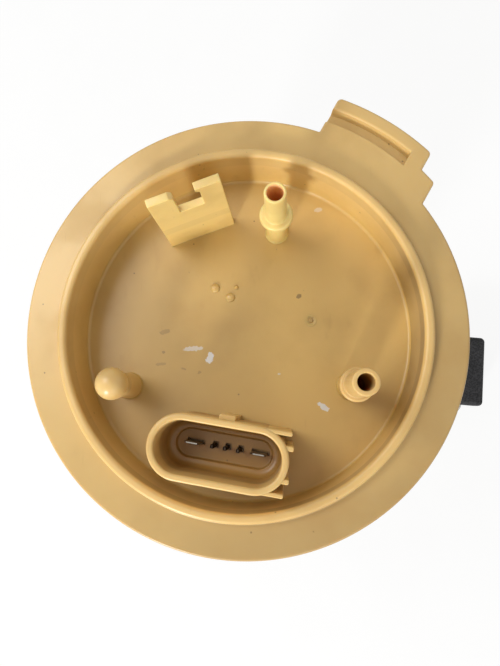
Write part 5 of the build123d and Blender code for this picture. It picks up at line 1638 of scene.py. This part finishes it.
@dataclass(frozen=True)
class Lamp:
    """A square soft lamp that faces the module's middle, in metres and watts."""

    name: str
    at: Point
    size: float
    watts: float

    def build(self) -> None:
        """Stand the lamp in its place, turned towards the origin."""
        data = bpy.data.lights.new(self.name, "AREA")
        data.size = self.size
        data.energy = self.watts
        obj = bpy.data.objects.new(self.name, data)
        back = np.array(self.at) / np.linalg.norm(self.at)
        right = np.cross((0.0, 1.0, 0.02), back)
        right /= np.linalg.norm(right)
        set_axes(obj, (right, np.cross(back, right), back), self.at)


@dataclass
class Studio:
    """Camera, lamps, pale floor and background."""

    camera_at: Point = (15.66 * MM, -28.13 * MM, 206.75 * MM)
    pitch: float = radians(-7.49)
    yaw: float = radians(3.63)
    focal_px: float = 536.0
    frame_px: float = 666.0
    sensor_mm: float = 36.0
    floor_z: float = -0.1675
    floor_size: float = 6.0
    floor_t: float = 3.8 * MM
    floor_gap: float = 0.2 * MM
    floor_glow: float = 0.88
    room_light: float = 0.47
    lamps: tuple[Lamp, ...] = (
        Lamp("ceiling", (-0.32, 0.17, 0.48), 0.30, 1.7),
        Lamp("window_left", (-0.58, -1.20, 0.47), 0.22, 14.5),
        Lamp("window_right", (0.42, -1.15, 0.66), 0.45, 3.0),
    )

    def camera(self) -> None:
        """Place the camera above the flange, looking down and slightly tilted."""
        c, s = np.cos(self.pitch), np.sin(self.pitch)
        tip = np.array([[1, 0, 0], [0, c, -s], [0, s, c]])
        c, s = np.cos(self.yaw), np.sin(self.yaw)
        side = np.array([[c, 0, s], [0, 1, 0], [-s, 0, c]])
        look = tip @ side @ np.diag([1.0, -1.0, -1.0])
        data = bpy.data.cameras.new("camera")
        data.sensor_fit = "VERTICAL"
        data.sensor_height = self.sensor_mm
        data.lens = self.sensor_mm * self.focal_px / self.frame_px
        data.clip_start = 0.01
        obj = bpy.data.objects.new("camera", data)
        set_axes(obj, (look[0], -look[1], -look[2]), self.camera_at)
        bpy.context.scene.camera = obj

    def floor(self) -> None:
        """Lay a pale floor under the module, which takes the module's shadow.

        Matt white paper spreads light evenly and shows no sheen. To the camera and in reflections
        most of it glows, so that it stays as white as the background.
        """
        half = self.floor_size / 2
        corner = np.array([[-half, -half], [half, -half], [half, half], [-half, half]])
        top = self.floor_z - self.floor_gap
        obj = prism(corner, np.array([(top - self.floor_t, 0.0), (top, 0.0)])).piece("studio_floor")
        shader = Shader("matt_white_paper")
        fibres = shader.add("MapRange", (shader.cloud(40.0), 0.3, 0.7), **SMOOTH)
        colour = shader.add("Mix", {0: fibres, 6: "#F6F6F4", 7: "#FBFBFA"}, **TINTED)
        paper = shader.surface({"Base Color": colour, "Roughness": 0.9, "Metallic": 0.0, "IOR": 1.45})
        glow = shader.add("Emission", {"Color": (1, 1, 1, 1), "Strength": 1.0})
        share = shader.add("Math", (seen_by(shader, "Camera", "Glossy"), self.floor_glow), **TIMES)
        shader.add("OutputMaterial", (shader.add("MixShader", (share, paper, glow)),))
        obj.data.materials.append(shader.holder)

    def world(self) -> None:
        """Light everything softly from all round, with a white background behind it."""
        bpy.context.scene.world = bpy.data.worlds.new("soft_room")
        nodes = Nodes(bpy.context.scene.world)
        soft = nodes.add("Background", {"Color": "#F4F1EA", "Strength": self.room_light})
        white = nodes.add("Background", {"Color": (1.0, 1.0, 1.0, 1.0)})
        seen = seen_by(nodes, "Camera", "Glossy", "Transmission")
        nodes.add("OutputWorld", (nodes.add("MixShader", (seen, soft, white)),))

    def build(self) -> None:
        """Set up the whole studio."""
        self.camera()
        self.floor()
        self.world()
        for lamp in self.lamps:
            lamp.build()
        bpy.context.scene.view_settings.view_transform = "Standard"


@dataclass
class CadPieces:
    """The solids of the frame that stay, each with its real finish."""

    finishes: dict[str, Finish] = field(default_factory=lambda: dict(NODE_FINISH))

    def build(self) -> None:
        """Dress every node that has a finish."""
        for name, finish in self.finishes.items():
            dress(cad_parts[name], finish)
            log.info("%s: solid of the frame, %s", name, finish.name)


def main() -> None:
    """Build the module and its studio."""
    logging.basicConfig(level=logging.INFO, format="%(message)s")
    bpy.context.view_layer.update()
    Studio().build()
    for part in (FlangeMoulding(), Springs(), Hoses(), Leads(), TankSeal(), StrainerBag(), LevelFloat(),
                 CadPieces()):
        part.build()


if __name__ == "__main__":
    main()
